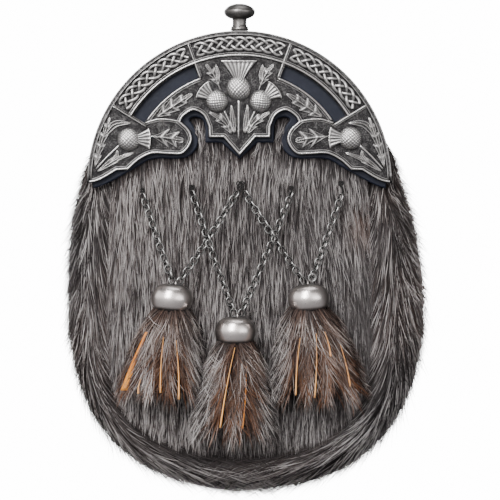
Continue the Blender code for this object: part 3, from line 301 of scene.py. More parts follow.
rough = add(tree, "MapRange", {"Value": worn, "To Min": given["Rough"], "To Max": given["Smooth"]})
tree.links.new(rough.outputs["Result"], out["Roughness"])
tree.links.new(pits, out["Height"])
PATINA_GROUP = tree


def metal_material(name, hollow, polished, rough, smooth, depth, mottle):
    """Antique metal: from `crest` the group gives colour and roughness, and fine pits of a depth in
    metres."""
    made, tree, shader = material(name, Metallic=1.0)
    patina = add(tree, "Group", {"Crest": painted(tree, "crest"), "Hollow": opaque(hollow),
                                 "Polished": opaque(polished), "Rough": rough, "Smooth": smooth,
                                 "Mottle": mottle}, node_tree=PATINA_GROUP).outputs
    dress(tree, shader, patina["Colour"], patina["Roughness"], patina["Height"], depth)
    return made


pewter = metal_material("pewter", (0.019, 0.018, 0.019), (0.640, 0.620, 0.610), 0.56, 0.24, 0.00005, 0.5)
dark_pewter = metal_material("dark_pewter", (0.045, 0.042, 0.040), (0.250, 0.238, 0.230), 0.50, 0.30,
                             0.00006, 1.6)
satin_pewter = metal_material("satin_pewter", (0.045, 0.042, 0.040), (0.900, 0.825, 0.795), 0.44, 0.27,
                              0.00002, 0.2)
chain_metal = metal_material("chain_metal", (0.016, 0.016, 0.016), (0.430, 0.425, 0.415), 0.50, 0.24,
                             0.00002, 0.5)
print("metals:", pewter.name, dark_pewter.name, satin_pewter.name, chain_metal.name)

# %% [markdown]
# Leather grain is a net of fine creases round raised cells. A Voronoi texture gives the cells, noise makes
# their height uneven, and a slower noise wears the dye. The tan hide is raw, and its cut edge is paler.
# %% Leather
tree, given, out = new_group("leather_grain", {"Dye": BLACK, "Worn": BLACK, "Scale": 900.0},
                             {"Colour": "Color", "Roughness": "Float", "Height": "Float"})
place = add(tree, "TexCoord").outputs["Object"]
cells = add(tree, "TexVoronoi", {"Vector": place, "Scale": given["Scale"]}, feature="DISTANCE_TO_EDGE")
crease = span(tree, cells.outputs["Distance"], 0.0, 0.25)
swell = noise(tree, 260.0, 3.0)
rubbed = span(tree, noise(tree, 45.0, 4.0), 0.45, 0.75)
tree.links.new(mix(tree, rubbed, given["Dye"], given["Worn"]), out["Colour"])
tree.links.new(span(tree, swell, 0.3, 0.7, 0.52, 0.38), out["Roughness"])
tree.links.new(reckon(tree, "MULTIPLY", crease, swell), out["Height"])
LEATHER_GROUP = tree


def leather_material(name, dye, worn, scale, depth, gloss=0.4, cut_edge=None):
    """Leather: dye, wear and grain from the group. Where `crest` is 1 a cut edge shows its own colour, if
    given."""
    made, tree, shader = material(name, Roughness=0.5, Specular_IOR_Level=gloss)
    grain = add(tree, "Group", {"Dye": opaque(dye), "Worn": opaque(worn), "Scale": scale},
                node_tree=LEATHER_GROUP).outputs
    colour = grain["Colour"]
    if cut_edge:
        colour = mix(tree, painted(tree, "crest"), colour, opaque(cut_edge))
    dress(tree, shader, colour, grain["Roughness"], grain["Height"], depth)
    return made


pouch_leather = leather_material("pouch_leather", (0.014, 0.013, 0.013), (0.034, 0.032, 0.031), 900.0,
                                 0.00025)
backing_leather = leather_material("backing_leather", (0.007, 0.009, 0.018), (0.011, 0.014, 0.026), 1600.0,
                                   0.00006, gloss=0.22)
tan_hide = leather_material("tan_hide", (0.74, 0.22, 0.020), (0.88, 0.38, 0.07), 1400.0, 0.00012, gloss=0.12,
                            cut_edge=(0.88, 0.50, 0.22))
print("leathers:", pouch_leather.name, backing_leather.name, tan_hide.name)

# %% [markdown]
# Thread is many fine strands twisted together. One noise gives both its colour and its small ridges.
# %% Thread
def thread_material(name, dark, pale, scale, depth, **sockets):
    """Thread: a noise mixes two colours, and the same noise raises the strands by a depth in metres."""
    made, tree, shader = material(name, **sockets)
    strands = noise(tree, scale, 2.0)
    dress(tree, shader, mix(tree, strands, opaque(dark), opaque(pale)), height=strands, depth=depth)
    return made


black_thread = thread_material("black_thread", (0.002, 0.002, 0.002), (0.010, 0.009, 0.009), 3000.0, 0.00015,
                               Roughness=0.5, Specular_IOR_Level=0.25)
sewing_thread = thread_material("sewing_thread", (0.010, 0.010, 0.010), (0.045, 0.043, 0.041), 2600.0,
                                0.00012, Roughness=0.55)
print(len(bpy.data.materials), "materials")

# %% [markdown]
# ## The stage
# The pouch hangs free in a pale studio. One turned surface serves as floor and backdrop: flat below the
# pouch, it curves up all round, so every view has the same plain ground. The camera sees it near white, as
# in the photograph, while the light it gives to the pouch stays soft and comes mostly from the front.
# %% Stage
FLOOR_Z, BOWL_SIDES = -200.0, 64
BOWL_PROFILE = ((0, 0), (800, 0), (1700, 0), (2600, 40), (3300, 260), (3750, 800), (3900, 1700), (3950, 3200))
BOWL_SEEN = 15.0

stage_finish, tree, shader = material("pale_studio", Roughness=0.9, Emission_Color=(1.0, 0.985, 0.97, 1.0))
dress(tree, shader, mix(tree, noise(tree, 3.0, 2.0), (0.11, 0.11, 0.115, 1), (0.13, 0.13, 0.135, 1)))
where = add(tree, "SeparateXYZ", {"Vector": add(tree, "TexCoord").outputs["Object"]}).outputs
front = span(tree, reckon(tree, "MULTIPLY_ADD", where["X"], 0.45, where["Y"]), 0.1, -1.5, 0.10, 1.45)
above = span(tree, where["Z"], -0.6, 1.0, 0.25, 1.0)
tree.links.new(reckon(tree, "MULTIPLY", front, above), shader.inputs["Emission Strength"])
glow = add(tree, "Emission", {"Strength": BOWL_SEEN}).outputs[0]
seen = add(tree, "LightPath").outputs["Is Camera Ray"]
shown = add(tree, "MixShader", {0: seen, 1: shader.outputs[0], 2: glow}).outputs[0]
tree.links.new(shown, tree.nodes["Material Output"].inputs["Surface"])

profile = np.array(BOWL_PROFILE)
turn = np.linspace(0, 2 * np.pi, BOWL_SIDES + 1)[:-1]
r, z = profile[:, :1], profile[:, 1:] + FLOOR_Z
bowl_points = np.stack((r * np.cos(turn), r * np.sin(turn), z + 0 * turn), axis=-1)
sides = quads(len(profile) - 1, BOWL_SIDES, loop_columns=True)[:, ::-1]
bowl = put("studio_bowl", bowl_points[1:].reshape(-1, 3), [sides], stage_finish)
floor = put("studio_floor", bowl_points[1], [np.arange(BOWL_SIDES)[None, :]], stage_finish)
for sheet in (bowl, floor):
    sheet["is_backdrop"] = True
print("stage", len(sides), "faces")

# %% [markdown]
# Big area lights shape the metal and the fur. The key is high on the left, a wide and weaker one fills from
# the right, a small one comes from above, and one behind the pouch draws its edges.
# %% Lights
LIGHTS = (
    {"name": "key", "place": (-0.52, -1.30, 0.85), "size": (0.60, 1.40), "power": 44.0},
    {"name": "top", "place": (0.10, 0.05, 1.20), "size": (0.80, 0.80), "power": 4.0},
    {"name": "fill", "place": (1.15, -1.15, -0.15), "size": (1.30, 1.50), "power": 11.0},
    {"name": "back", "place": (-0.40, 1.40, 0.30), "size": (1.10, 1.10), "power": 16.0},
)
LIT_POINT = Vector((0.0, -0.03, -0.065))
WORLD_LIGHT = 0.16

for row in LIGHTS:
    lamp = bpy.data.lights.new(row["name"], "AREA")
    lamp.shape = "RECTANGLE"
    lamp.size, lamp.size_y = row["size"]
    lamp.energy = row["power"]
    holder = bpy.data.objects.new(row["name"], lamp)
    holder.location = row["place"]
    holder.rotation_euler = (Vector(row["place"]) - LIT_POINT).to_track_quat("Z", "Y").to_euler()
    holder.visible_camera = False
    bpy.context.scene.collection.objects.link(holder)
world = bpy.data.worlds.new("studio")
bpy.context.scene.world = world
world.use_nodes = True
sky = world.node_tree.nodes["Background"].inputs
sky["Color"].default_value, sky["Strength"].default_value = WHITE, WORLD_LIGHT
print(len(LIGHTS), "lights")

# %% [markdown]
# ## The outlines of the pouch
# Leather and fur follow the same few lines. From the back, a superellipse gives the wide round bottom; the
# front seam is narrower. These are the measures of the CAD model, so the visible surfaces lie where its
# solids are.
# %% Measures and widths
ARC_Z, POUCH_RADIUS, ARC_END = -34.0, 74.3, 70.0
SEAM = {"half": 66.5, "waist": 64.5, "turn": -112.5, "drop": 56.0, "power": 2.5}
BACK = {"half": 80.0, "turn": -92.5, "drop": 83.5, "rise": 160.0, "power": 2.4}
ROLL = {"half": 87.9, "turn": -92.5, "drop": 93.4, "rise": 132.5, "power": 2.4}
ROLL_TOP, ROLL_SHIFT = -12.0, 3.4
SHOULDER = {"wider": 2.6, "z": -16.0, "reach": 9.0}
GUSSET_FRONT, GUSSET_BACK, GUSSET_BULGE = -34.4, -2.5, 3.0
FUR_BACK = -36.6
SIDE, BOTTOM = 40, 56


def seam_half(z):
    """Half width of the front seam: from the arc's end it draws in to a waist and widens again below."""
    end = POUCH_RADIUS * np.sin(np.radians(ARC_END))
    end_z = ARC_Z + POUCH_RADIUS * np.cos(np.radians(ARC_END))
    upper = np.clip((z - ARC_Z) / (end_z - ARC_Z), 0, 1)
    lower = np.clip((ARC_Z - z) / (ARC_Z - BACK["turn"]), 0, 1)
    waist, half = SEAM["waist"], SEAM["half"]
    return waist + (end - waist) * upper ** 1.5 + (half - waist) * lower ** 1.5


def back_half(z):
    """Half width of the back: the arc above its centre, and a slow swell below it."""
    swell = BACK["half"] * np.sqrt(1 - ((z - BACK["turn"]) / BACK["rise"]) ** 2)
    return np.where(z > ARC_Z, np.sqrt(np.maximum(POUCH_RADIUS ** 2 - (z - ARC_Z) ** 2, 0)), swell)


def roll_half(z):
    """Half width of the fur border's outer edge, an ellipse in z."""
    return ROLL["half"] * np.sqrt(1 - ((z - ROLL["turn"]) / ROLL["rise"]) ** 2)


widths = [round(float(2 * half(BACK["turn"])), 1) for half in (seam_half, back_half, roll_half)]
print("widths of seam, back and border:", widths, "mm")

# %% [markdown]
# The next helpers work on lines, which are arrays of (x, z). `around` runs down one side, round the bottom
# and up the other side. `outward` and `mitres` give the way sideways from a line, so walls, seams and
# raised rims can follow it at a distance. The border's line is drawn out a little at the right shoulder, as
# in the photograph.
# %% Lines
def around(shape, half_width, side=SIDE, bottom=BOTTOM):
    """A line down the right side, round the bottom on a superellipse and up the left side."""
    z = np.linspace(ARC_Z + POUCH_RADIUS * np.cos(np.radians(ARC_END)), shape["turn"], side + 1)[:-1]
    a = np.linspace(0, np.pi / 2, bottom + 1)
    low = np.stack((shape["half"] * np.cos(a) ** (2 / shape["power"]),
                    shape["turn"] - shape["drop"] * np.sin(a) ** (2 / shape["power"])), axis=1)
    right = np.vstack((np.stack((half_width(z), z), axis=1), low))
    return np.vstack((right, (right * (-1, 1))[-2::-1]))


def outward(line):
    """Unit vectors away from the pouch: the line's direction, from right to left, turned a quarter."""
    along = np.gradient(line, axis=0)
    normal = np.stack((-along[:, 1], along[:, 0]), axis=1)
    return normal / np.linalg.norm(normal, axis=1)[:, None]


def smooth_run(points, per_span):
    """A Catmull-Rom curve through points, as arrays: each span is the usual cubic of its four neighbours."""
    p = np.asarray(points, dtype=float)
    p = np.vstack((2 * p[0] - p[1], p, 2 * p[-1] - p[-2]))
    a, b, c, d = (p[k:len(p) - 3 + k, None] for k in range(4))
    t = (np.arange(per_span) / per_span)[None, :, None]
    run = 0.5 * (2 * b + (c - a) * t + (2 * a - 5 * b + 4 * c - d) * t ** 2
                 + (3 * b - a - 3 * c + d) * t ** 3)
    return np.vstack((run.reshape(-1, p.shape[1]), p[-2]))


def arc(radius, start, end, step=1.5):
    """Points on a circle about the cantle's centre, by degrees from straight up towards +X."""
    turn = np.radians(np.linspace(start, end, max(2, int(abs(end - start) / step) + 1)))
    return np.stack((radius * np.sin(turn), ARC_Z + radius * np.cos(turn)), axis=1)


def joined(*runs):
    """One line from runs that follow each other, without doubled points."""
    points = np.vstack(runs)
    return points[np.linalg.norm(points - np.roll(points, 1, axis=0), axis=1) > 0.02]


def both_sides(half):
    """A half outline from the upper middle, down the right side to the lower middle, and its mirror."""
    return joined(half, (half * (-1, 1))[::-1])


def inside(loop, x, z):
    """Which points lie inside a loop: each edge crossed by the ray to the right of a point turns the
    answer."""
    (x0, z0), (x1, z1) = loop.T[:, :, None], np.roll(loop, -1, axis=0).T[:, :, None]
    px, pz = x.ravel()[None], z.ravel()[None]
    at = x0 + (pz - z0) * (x1 - x0) / np.where(z1 == z0, 1e-9, z1 - z0)
    return (np.sum(((z0 > pz) != (z1 > pz)) & (px < at), axis=0) % 2 == 1).reshape(x.shape)


def mitres(line, closed=False):
    """Per point, the vector that moves a line to its left by 1 mm and keeps its corners sharp: the sum of
    the two edges' normals over 1 plus their product. That is outwards on a loop that runs down its right
    side."""
    before = line - np.roll(line, 1, axis=0)
    after = np.roll(line, -1, axis=0) - line
    if not closed:
        before[0], after[-1] = after[0], before[-1]
    left = [np.stack((-v[:, 1], v[:, 0]), axis=1) / np.linalg.norm(v, axis=1)[:, None]
            for v in (before, after)]
    return (left[0] + left[1]) / np.maximum(1 + np.sum(left[0] * left[1], axis=1), 0.35)[:, None]


def lengths(line):
    """How far along a line of points each point lies."""
    return np.concatenate(([0], np.cumsum(np.linalg.norm(np.diff(line, axis=0), axis=1))))


seam_line, back_line, roll_edge = around(SEAM, seam_half), around(BACK, back_half), around(ROLL, roll_half)
roll_edge[:, 0] += ROLL_SHIFT * np.clip((ROLL_TOP - roll_edge[:, 1]) / (ROLL_TOP - ROLL["turn"]), 0, 1)
at_shoulder = np.exp(-((roll_edge[:, 1] - SHOULDER["z"]) / SHOULDER["reach"]) ** 2) * (roll_edge[:, 0] > 0)
roll_edge[:, 0] += SHOULDER["wider"] * at_shoulder
print(len(seam_line), "stations round the pouch")

# %% [markdown]
# ## Growing fur
# Fur isn't a texture here: every hair is a thin tapering ribbon. A `skin` is a grid of points; a hair
# starts at a random place on it, spread evenly by area, and follows the grid in the direction that the coat
# lies. Hairs that start in the same small patch lean towards one tip, which gives the pointed locks with
# dark gaps between them.
# %% Skins
def make_skin(grid, side=1.0):
    """A grid with what hairs need: unit tangents, the outward normal (side is 1 or -1), and mm per grid
    step."""
    along_a, along_b = np.gradient(grid, axis=0), np.gradient(grid, axis=1)
    step_a = np.maximum(np.linalg.norm(along_a, axis=2), 1e-3)
    step_b = np.maximum(np.linalg.norm(along_b, axis=2), 1e-3)
    unit_a, unit_b = along_a / step_a[..., None], along_b / step_b[..., None]
    normal = np.cross(unit_a, unit_b) * side
    normal /= np.maximum(np.linalg.norm(normal, axis=2), 1e-6)[..., None]
    return {"place": grid, "normal": normal, "a": unit_a, "b": unit_b, "step_a": step_a, "step_b": step_b,
            "far_a": np.cumsum(step_a, axis=0), "far_b": np.cumsum(step_b, axis=1)}


def even_rows(grid):
    """The same grid with the points of each row at even steps of length, so a hair's path on it isn't
    stretched."""
    even = np.empty_like(grid)
    for row, points in enumerate(grid):
        far = lengths(points)
        steps = np.linspace(0, far[-1], len(points))
        even[row] = np.stack([np.interp(steps, far, points[:, k]) for k in range(3)], axis=1)
    return even


def on_skin(skin, key, a, b, past_edge=6.0):
    """A value of the skin between its grid points, by bilinear weights. A place goes on past an edge as the
    last cell does, for up to some cells; every other value stays as it is at the edge."""
    values = skin[key]
    values = values if values.ndim == 3 else values[..., None]
    i = np.clip(a.astype(int), 0, values.shape[0] - 2)
    j = np.clip(b.astype(int), 0, values.shape[1] - 2)
    over = past_edge if key == "place" else 0.0
    s, t = np.clip(a - i, -over, 1 + over)[..., None], np.clip(b - j, -over, 1 + over)[..., None]
    return ((1 - s) * ((1 - t) * values[i, j] + t * values[i, j + 1])
            + s * ((1 - t) * values[i + 1, j] + t * values[i + 1, j + 1]))


def scatter(skin, count, weight=1.0):
    """Random places on a skin: a cell by its area times a weight, then a point anywhere inside the cell."""
    chance = (skin["step_a"] * skin["step_b"] * weight)[:-1, :-1].ravel()
    cell = rng.choice(len(chance), size=count, p=chance / chance.sum())
    i, j = np.divmod(cell, skin["place"].shape[1] - 1)
    return i + rng.random(count), j + rng.random(count)


# %% [markdown]
# A hair is a strip of a few faces that ends in a point. `grow` makes all hairs of a pelt at once: each
# array has a row for every hair and a column for every step along it. `clump` finds the tip that a hair
# leans towards.
# %% Hairs
def clump(skin, a, b, patch):
    """From each hair to the middle of its patch in mm: patches are the cells of a net, and a hash of the
    cell's number, the fraction of a large sine, moves each middle to its own place."""
    far = np.stack([on_skin(skin, key, a, b)[:, 0] for key in ("far_a", "far_b")], axis=1)
    cell = np.floor(far / patch)
    mixed = np.sin(cell @ np.array([[12.9898, 39.346], [78.233, 11.135]])) * 43758.5453
    jitter = mixed - np.floor(mixed)
    return (cell + 0.15 + 0.7 * jitter) * patch - far, jitter


def grow(skin, a, b, length, course, patch, pull, lift, width, levels=3, bend=0.6, main="b", spread=0.22):
    """Hairs as ribbons. At t from 0 to 1 a hair lies at skin(a + da t, b + db t), drawn to its lock by pull
    t^1.5, swung aside by up to 1.6 bend t^2 and raised along the normal by lift[0] + (lift[1] - lift[0])
    t^2. Its width falls as sqrt(1 - 0.9 t), to a point at the tip. course is the angle from the b direction
    towards a, in radians. The two directions of a skin need not be square to each other, so `main` names
    the one that is followed exactly."""
    count = len(a)
    to_lock, jitter = clump(skin, a, b, patch)
    course = course + (jitter[:, 0] - 0.5) * spread + rng.normal(0, 0.05, count)
    skew = np.sum(on_skin(skin, "a", a, b) * on_skin(skin, "b", a, b), axis=1)
    square = np.sqrt(np.maximum(1 - skew ** 2, 0.1))
    to_a, to_b = np.sin(course) * length, np.cos(course) * length
    if main == "a":
        to_b = to_b / square
        to_a = to_a - to_b * skew
    else:
        to_a = to_a / square
        to_b = to_b - to_a * skew
    step_a, step_b = on_skin(skin, "step_a", a, b)[:, 0], on_skin(skin, "step_b", a, b)[:, 0]
    t = np.linspace(0, 1, levels + 1)[None, :]
    swing = np.clip(rng.normal(0, bend, count), -1.6 * bend, 1.6 * bend)[:, None] * t ** 2
    move_a = to_a[:, None] * t + to_lock[:, :1] * pull * t ** 1.5 + (swing if main == "b" else 0)
    move_b = to_b[:, None] * t + to_lock[:, 1:] * pull * t ** 1.5 + (swing if main == "a" else 0)
    way_a, way_b = a[:, None] + move_a / step_a[:, None], b[:, None] + move_b / step_b[:, None]
    normal = on_skin(skin, "normal", way_a, way_b)
    rise = lift[0] + (lift[1] - lift[0]) * t ** 2
    rise = rise * rng.uniform(0.5, 1.4, count)[:, None]
    spine = on_skin(skin, "place", way_a, way_b) + normal * rise[..., None]
    along = np.gradient(spine, axis=1)
    across = np.cross(along, normal)
    across /= np.maximum(np.linalg.norm(across, axis=2), 1e-9)[..., None]
    roll = rng.uniform(-0.7, 0.7, count)[:, None, None]
    across = across * np.cos(roll) + normal * np.sin(roll)
    half = (np.asarray(width)[..., None] / 2 * np.sqrt(1 - 0.9 * t[:, :-1]))[..., None]
    pairs = np.stack((spine[:, :-1] - across[:, :-1] * half, spine[:, :-1] + across[:, :-1] * half), axis=2)
    points = np.concatenate((pairs.reshape(count, -1, 3), spine[:, -1:]), axis=1)
    tip = 2 * levels
    first = np.arange(count)[:, None, None] * (tip + 1)
    k = 2 * np.arange(levels - 1)[:, None]
    body = np.concatenate((k + [0, 1, 2], k + [1, 3, 2])).reshape(-1, 3)
    strip = np.vstack((body, [[tip - 2, tip - 1, tip]]))
    return {"points": points.reshape(-1, 3), "faces": (first + strip[None]).reshape(-1, 3),
            "t": np.append(np.repeat(t, 2, axis=1)[0, :tip], 1.0), "jitter": jitter}


def hair_piece(name, hairs, tone, warm, finish, roots=0.25, root_end=0.45):
    """Hairs as a piece. A hair starts at the share `roots` of its tone and reaches all of it at
    `root_end`."""
    roots = np.broadcast_to(roots, len(tone))[:, None]
    shade = np.asarray(tone)[:, None] * (roots + (1 - roots) * np.clip(hairs["t"] / root_end, 0, 1)[None])
    heat = np.broadcast_to(np.asarray(warm)[:, None], shade.shape)
    return put(name, hairs["points"], [hairs["faces"]], finish, {"tone": shade, "warm": heat})


def drift(places, scale, seed):
    """A slow random field about 0.5: the mean of six sine waves in random directions, about scale mm long."""
    field = np.random.default_rng(seed)
    waves = field.normal(0, 1 / scale, (3, 6))
    return 0.5 + 0.5 * np.sin(places @ waves + field.uniform(0, 6.28, 6)).mean(axis=-1) * 1.8


def ramp(values, start, width):
    """0 up to start, then evenly up to 1 over the width after it."""
    return np.clip((values - start) / width, 0, 1)


THIN = 1.0
print("hairs are grown at a share of", THIN)

# %% [markdown]
# ## The front fur
# The front of the pouch is one pelt. Its hair is short and runs straight down, lighter at the left and
# darker at the right, and its lowest tips hang over the border. It lies flat under the cantle's leather and
# rises to full depth below it, so the skin's depth grows with the distance below that leather's edge.
# %% Skin of the front
BACKING_EDGE = (
    ((73.5, -36.7), (66.5, -34.2), (55.0, -27.9), (50.5, -25.3), (45.5, -22.4), (39.9, -21.5), (32.0, -21.7),
     (26.5, -20.9), (22.6, -17.9), (20.9, -14.0), (21.4, -9.0), (23.4, -4.8), (25.2, -2.2), (23.6, -0.9),
     (21.0, -0.9), (18.4, -2.4), (17.4, -6.0), (17.2, -13.6)),
    ((17.2, -13.6), (9.0, -13.6)),
    ((9.0, -13.6), (0.0, -21.7)),
)
BACKING_RADIUS, BACKING_Y = 73.6, (-42.3, -40.3)
FUR_TOP, FUR_SKIN, FUR_DEPTH, FUR_RISE = 8.0, 3.0, 8.2, 9.0
COLUMNS, ROWS, HEM_ROWS = 120, 130, 12
NEAR_EDGE, FAR_UP = 5.0, 99.0

leather_edge = joined(*[smooth_run(run, 4) for run in BACKING_EDGE])
corner = np.degrees(np.arctan2(leather_edge[0, 0], leather_edge[0, 1] - ARC_Z))
leather_loop = both_sides(joined(arc(BACKING_RADIUS, 0, corner), leather_edge))
across = np.sin(np.linspace(-1, 1, COLUMNS + 1) * np.pi / 2)
edge_x, edge_z = smooth_run(leather_edge, 6).T
near = np.abs(edge_x[None] - np.abs(across[:, None] * SEAM["half"])) < NEAR_EDGE
low_edge = np.where(near, edge_z[None], FAR_UP).min(axis=1)
low_edge = np.where(near.any(axis=1), low_edge, edge_z[0])
rim = np.abs(across) ** SEAM["power"]
bottom = SEAM["turn"] - (SEAM["drop"] - 0.3) * np.maximum(1 - rim, 0) ** (1 / SEAM["power"])
v = np.arange(ROWS + HEM_ROWS + 1) / ROWS
z = FUR_TOP + (bottom - FUR_TOP)[:, None] * v[None]
under_arc = np.sqrt(np.maximum((POUCH_RADIUS - 0.3) ** 2 - (z - ARC_Z) ** 2, 0))
half = seam_half(z) - 0.6
half = np.where(z > ARC_Z, np.minimum(half, under_arc), half)
open_air = np.clip((low_edge[:, None] - 1.5 - z) / FUR_RISE, 0, 1)
flank = np.clip(0.22 + 4.0 * (1 - np.abs(across)), 0, 1)[:, None]
near_top = np.clip((1.06 - v) / 0.08, 0.25, 1)[None]
depth = FUR_SKIN + (FUR_DEPTH - FUR_SKIN) * np.sqrt(open_air * flank * near_top)
front_grid = np.stack((across[:, None] * half, FUR_BACK - depth, z), axis=-1)
front_skin = make_skin(front_grid, -1.0)
print("front skin", front_grid.shape[:2], "points, up to", round(float(depth.max()), 1), "mm deep")

# %% [markdown]
# Between the hairs the pelt itself shows as darkness. It is every second point of the same grid, without
# the hem that only the hairs reach, closed by a wall round its edge and one flat face at the back.
# %% Pelt of the front
base = front_grid[::2, :ROWS + 1:2]
columns, rows = base.shape[:2]


def edge_of(grid):
    """The points round the edge of a grid, in turn."""
    return np.concatenate((grid[:, 0], grid[-1, 1:], grid[-2::-1, -1], grid[0, -2:0:-1]))


closing = edge_of(base).copy()
closing[:, 1] = FUR_BACK
points = np.vstack((base.reshape(-1, 3), closing))
rim_index = edge_of(np.arange(columns * rows).reshape(columns, rows))
back_index = columns * rows + np.arange(len(closing))
wall = np.stack((rim_index, np.roll(rim_index, -1), np.roll(back_index, -1), back_index), axis=1)
faces = [quads(columns, rows), wall, back_index[None, ::-1]]
if volume_sign(points - points.mean(0), faces) <= 0:
    faces = [corners[:, ::-1] for corners in faces]
pelt = put("front_fur_pelt", points, faces, grey_fur, {"tone": np.full(len(points), 0.12)})
ride(pelt, "grey_fur", "front_fur")

# %% [markdown]
# Thirty-three thousand hairs cover it. Most are dull under-hair, and three in ten are bright guard hairs
# that lie on top and are a little longer. They run straight down. Beside the middle lobes of the cantle
# they lean towards the middle, and at the sides some lean out over the seam. No hair reaches far past the
# hem.
# %% How the hair of the front lies
FRONT_HAIRS, FRONT_GUARDS, FRONT_PATCH = 33000, 0.30, np.array([1.2, 8.0])

count = int(FRONT_HAIRS * THIN)
skin_x, skin_z = front_grid[..., 0], front_grid[..., 2]
covered = inside(leather_loop, skin_x, skin_z) & inside(leather_loop, skin_x, skin_z - 4.0)
open_cells = ~covered * (skin_z < -1.2) * (v[None] < 1.0) * (1 + 1.5 * (skin_z > -12.0))
a, b = scatter(front_skin, count, open_cells)
root = on_skin(front_skin, "place", a, b)
guard = rng.random(count) < FRONT_GUARDS
length = np.where(guard, rng.uniform(12, 18, count), rng.uniform(8, 13, count))
in_arch = ramp(root[:, 2], -13.0, 5.0)
lean = -np.sign(root[:, 0]) * np.clip((np.abs(root[:, 0]) - 20.0) / 5.0, -0.3, 1) * 0.55 * in_arch
to_edge = np.clip(1 - (66.0 - np.abs(root[:, 0])) / 7.0, 0, 1)
course = lean + 0.14 * (drift(root, 16.0, 11) - 0.5) + rng.normal(0, 0.035, count)
course = course + 0.34 * np.sign(root[:, 0]) * to_edge * rng.random(count)
to_hem = (on_skin(front_skin, "far_b", a, 0 * b + ROWS) - on_skin(front_skin, "far_b", a, b))[:, 0]
length = np.minimum(length * (1 - 0.45 * in_arch), to_hem + rng.uniform(0.5, 4.5, count))
lift = ((np.where(guard, 1.1, 0.4) + 0.7 * in_arch)[:, None],
        (np.where(guard, 1.9, 1.2) + 0.7 * in_arch)[:, None])
hairs = grow(front_skin, a, b, length, course, FRONT_PATCH, 0.5, lift, np.where(guard, 0.32, 0.42))
print(count, "hairs,", round(float(length.mean()), 1), "mm long")

# %% [markdown]
# The pelt is paler at the left and along the middle, patchy all over, and darker towards its side edges and
# the middle of the hem. Its lowest hair is painted a little paler, painted light against the tassels' shade.
# Beside the right end of the cantle the photograph shows a reddish spot.
# %% Colour of the front's hair
RED_SPOT = (61.0, -50.0)

left_light = 0.5 - 0.5 * np.clip(root[:, 0] / 60.0, -1, 1)
at_middle = np.exp(-(root[:, 0] / 18.0) ** 2)
at_hem = np.clip(1 - (to_hem - 4.0) / 12.0, 0, 1) * np.exp(-(root[:, 0] / 36.0) ** 2)
painted_light_low = ramp(-root[:, 2], 138.0, 15.0)
tone = np.where(guard, rng.uniform(0.6, 1.0, count), rng.uniform(0.05, 0.5, count))
tone = tone * (0.74 + 0.13 * left_light + 0.20 * drift(root, 9.0, 3) + 0.06 * at_middle)
# Painted light: the lowest hair, below the tassels, is made a little paler against their shade.
tone = tone * (1 + 0.12 * painted_light_low) * (1 - 0.25 * to_edge) * (1 - 0.42 * at_hem)
reddish = 0.5 * np.exp(-((root[:, 0] - RED_SPOT[0]) ** 2 + (root[:, 2] - RED_SPOT[1]) ** 2) / 60.0)
warm = np.clip(0.16 * rng.random(count) * (0.5 + left_light) + reddish, 0, 1)
ride(hair_piece("front_fur_hair", hairs, tone, warm, grey_fur), "grey_fur")

# %% [markdown]
# ## The fur border
# The border wraps the leather sides from the front seam to the back edge. Its section swells forwards,
# turns over the outer edge and goes back to the leather. At the top it lies behind the cantle. The hair
# runs round the pouch towards the bottom and slants outwards, so its tips stand clear of the outline.
# %% Skin of the border
ROLL_SECTION = ((0.00, -42.4), (0.20, -43.6), (0.52, -44.0), (0.80, -39.5), (0.97, -30.5), (1.00, -20.0),
                (0.86, -8.0))
SECTION_STEPS = 6
SEAM_CLEAR, LEATHER_CLEAR = 0.66, 0.4
BEHIND_Z, BEHIND_SLOPE, BEHIND_CLEAR = -38.5, 0.8, 0.6

keep = np.nonzero(roll_edge[:, 1] < ROLL_TOP)[0]
seam_near = seam_line + outward(seam_line) * SEAM_CLEAR
section = smooth_run(ROLL_SECTION, SECTION_STEPS)
flat = seam_near[:, None] + (roll_edge - seam_near)[:, None] * section[None, :, :1]
room = FUR_BACK + BEHIND_CLEAR - BEHIND_SLOPE * np.maximum(0.0, BEHIND_Z - flat[..., 1])
roll_grid = np.stack((flat[..., 0], np.maximum(section[None, :, 1], room), flat[..., 1]), axis=-1)[keep]
roll_grid = even_rows(roll_grid)
border_skin = make_skin(roll_grid, 1.0)
print("border skin", roll_grid.shape[:2], "points")

# %% [markdown]
# The pelt under the border's hair is a hollow wall: out along the skin and back along the leather. The
# leather between the two seams bulges outwards like a cushion. At the shoulders the pelt is paler, because
# there the hair is thin beside the metal.
# %% Pelt of the border
def gusset_lines(steps, clear=0.0):
    """Lines from the front seam to the back edge: straight between the two, plus a bulge of sin(pi f)
    outwards."""
    fractions = np.linspace(0, 1, steps)[None, :, None]
    lines = seam_line[:, None] + (back_line - seam_line)[:, None] * fractions
    return fractions, lines + outward(back_line)[:, None] * (GUSSET_BULGE * np.sin(np.pi * fractions) + clear)


fractions, bulged = gusset_lines(5, LEATHER_CLEAR)
inner_y = GUSSET_FRONT + (GUSSET_BACK - GUSSET_FRONT) * fractions[..., 0] + 0 * bulged[..., 0]
inner = np.stack((bulged[..., 0], inner_y, bulged[..., 1]), axis=-1)[keep]
border = Shells()
border_grid = np.concatenate((roll_grid, inner[:, ::-1]), axis=1)[::2]
border.add(border_grid, 0.10 + 0.30 * ramp(border_grid[..., 2], -42.0, 22.0))
ride(border.make("border_fur_pelt", grey_fur, "tone"), "grey_fur", "gusset_fur")

# %% [markdown]
# The border's hair is long and runs nearly along the pouch's outline. Near the seam it leans in over the
# front's edge, and outside it slants outwards, so that tips stand clear. The hair of both sides runs to the
# lowest point. Strays stand out further, most of them at the shoulders. `share` is a hair's place across
# the border, from 0 at the front seam to 1 at the back, and `below` says how far down it grows.
# %% How the hair of the border lies
BORDER_HAIRS, BORDER_PATCH = 27000, np.array([7.0, 1.4])
SLANT = ((0, 0.12, 0.3, 0.42, 0.6, 0.8, 1.0), (-26, -13, 4, 18, 28, 22, 4))


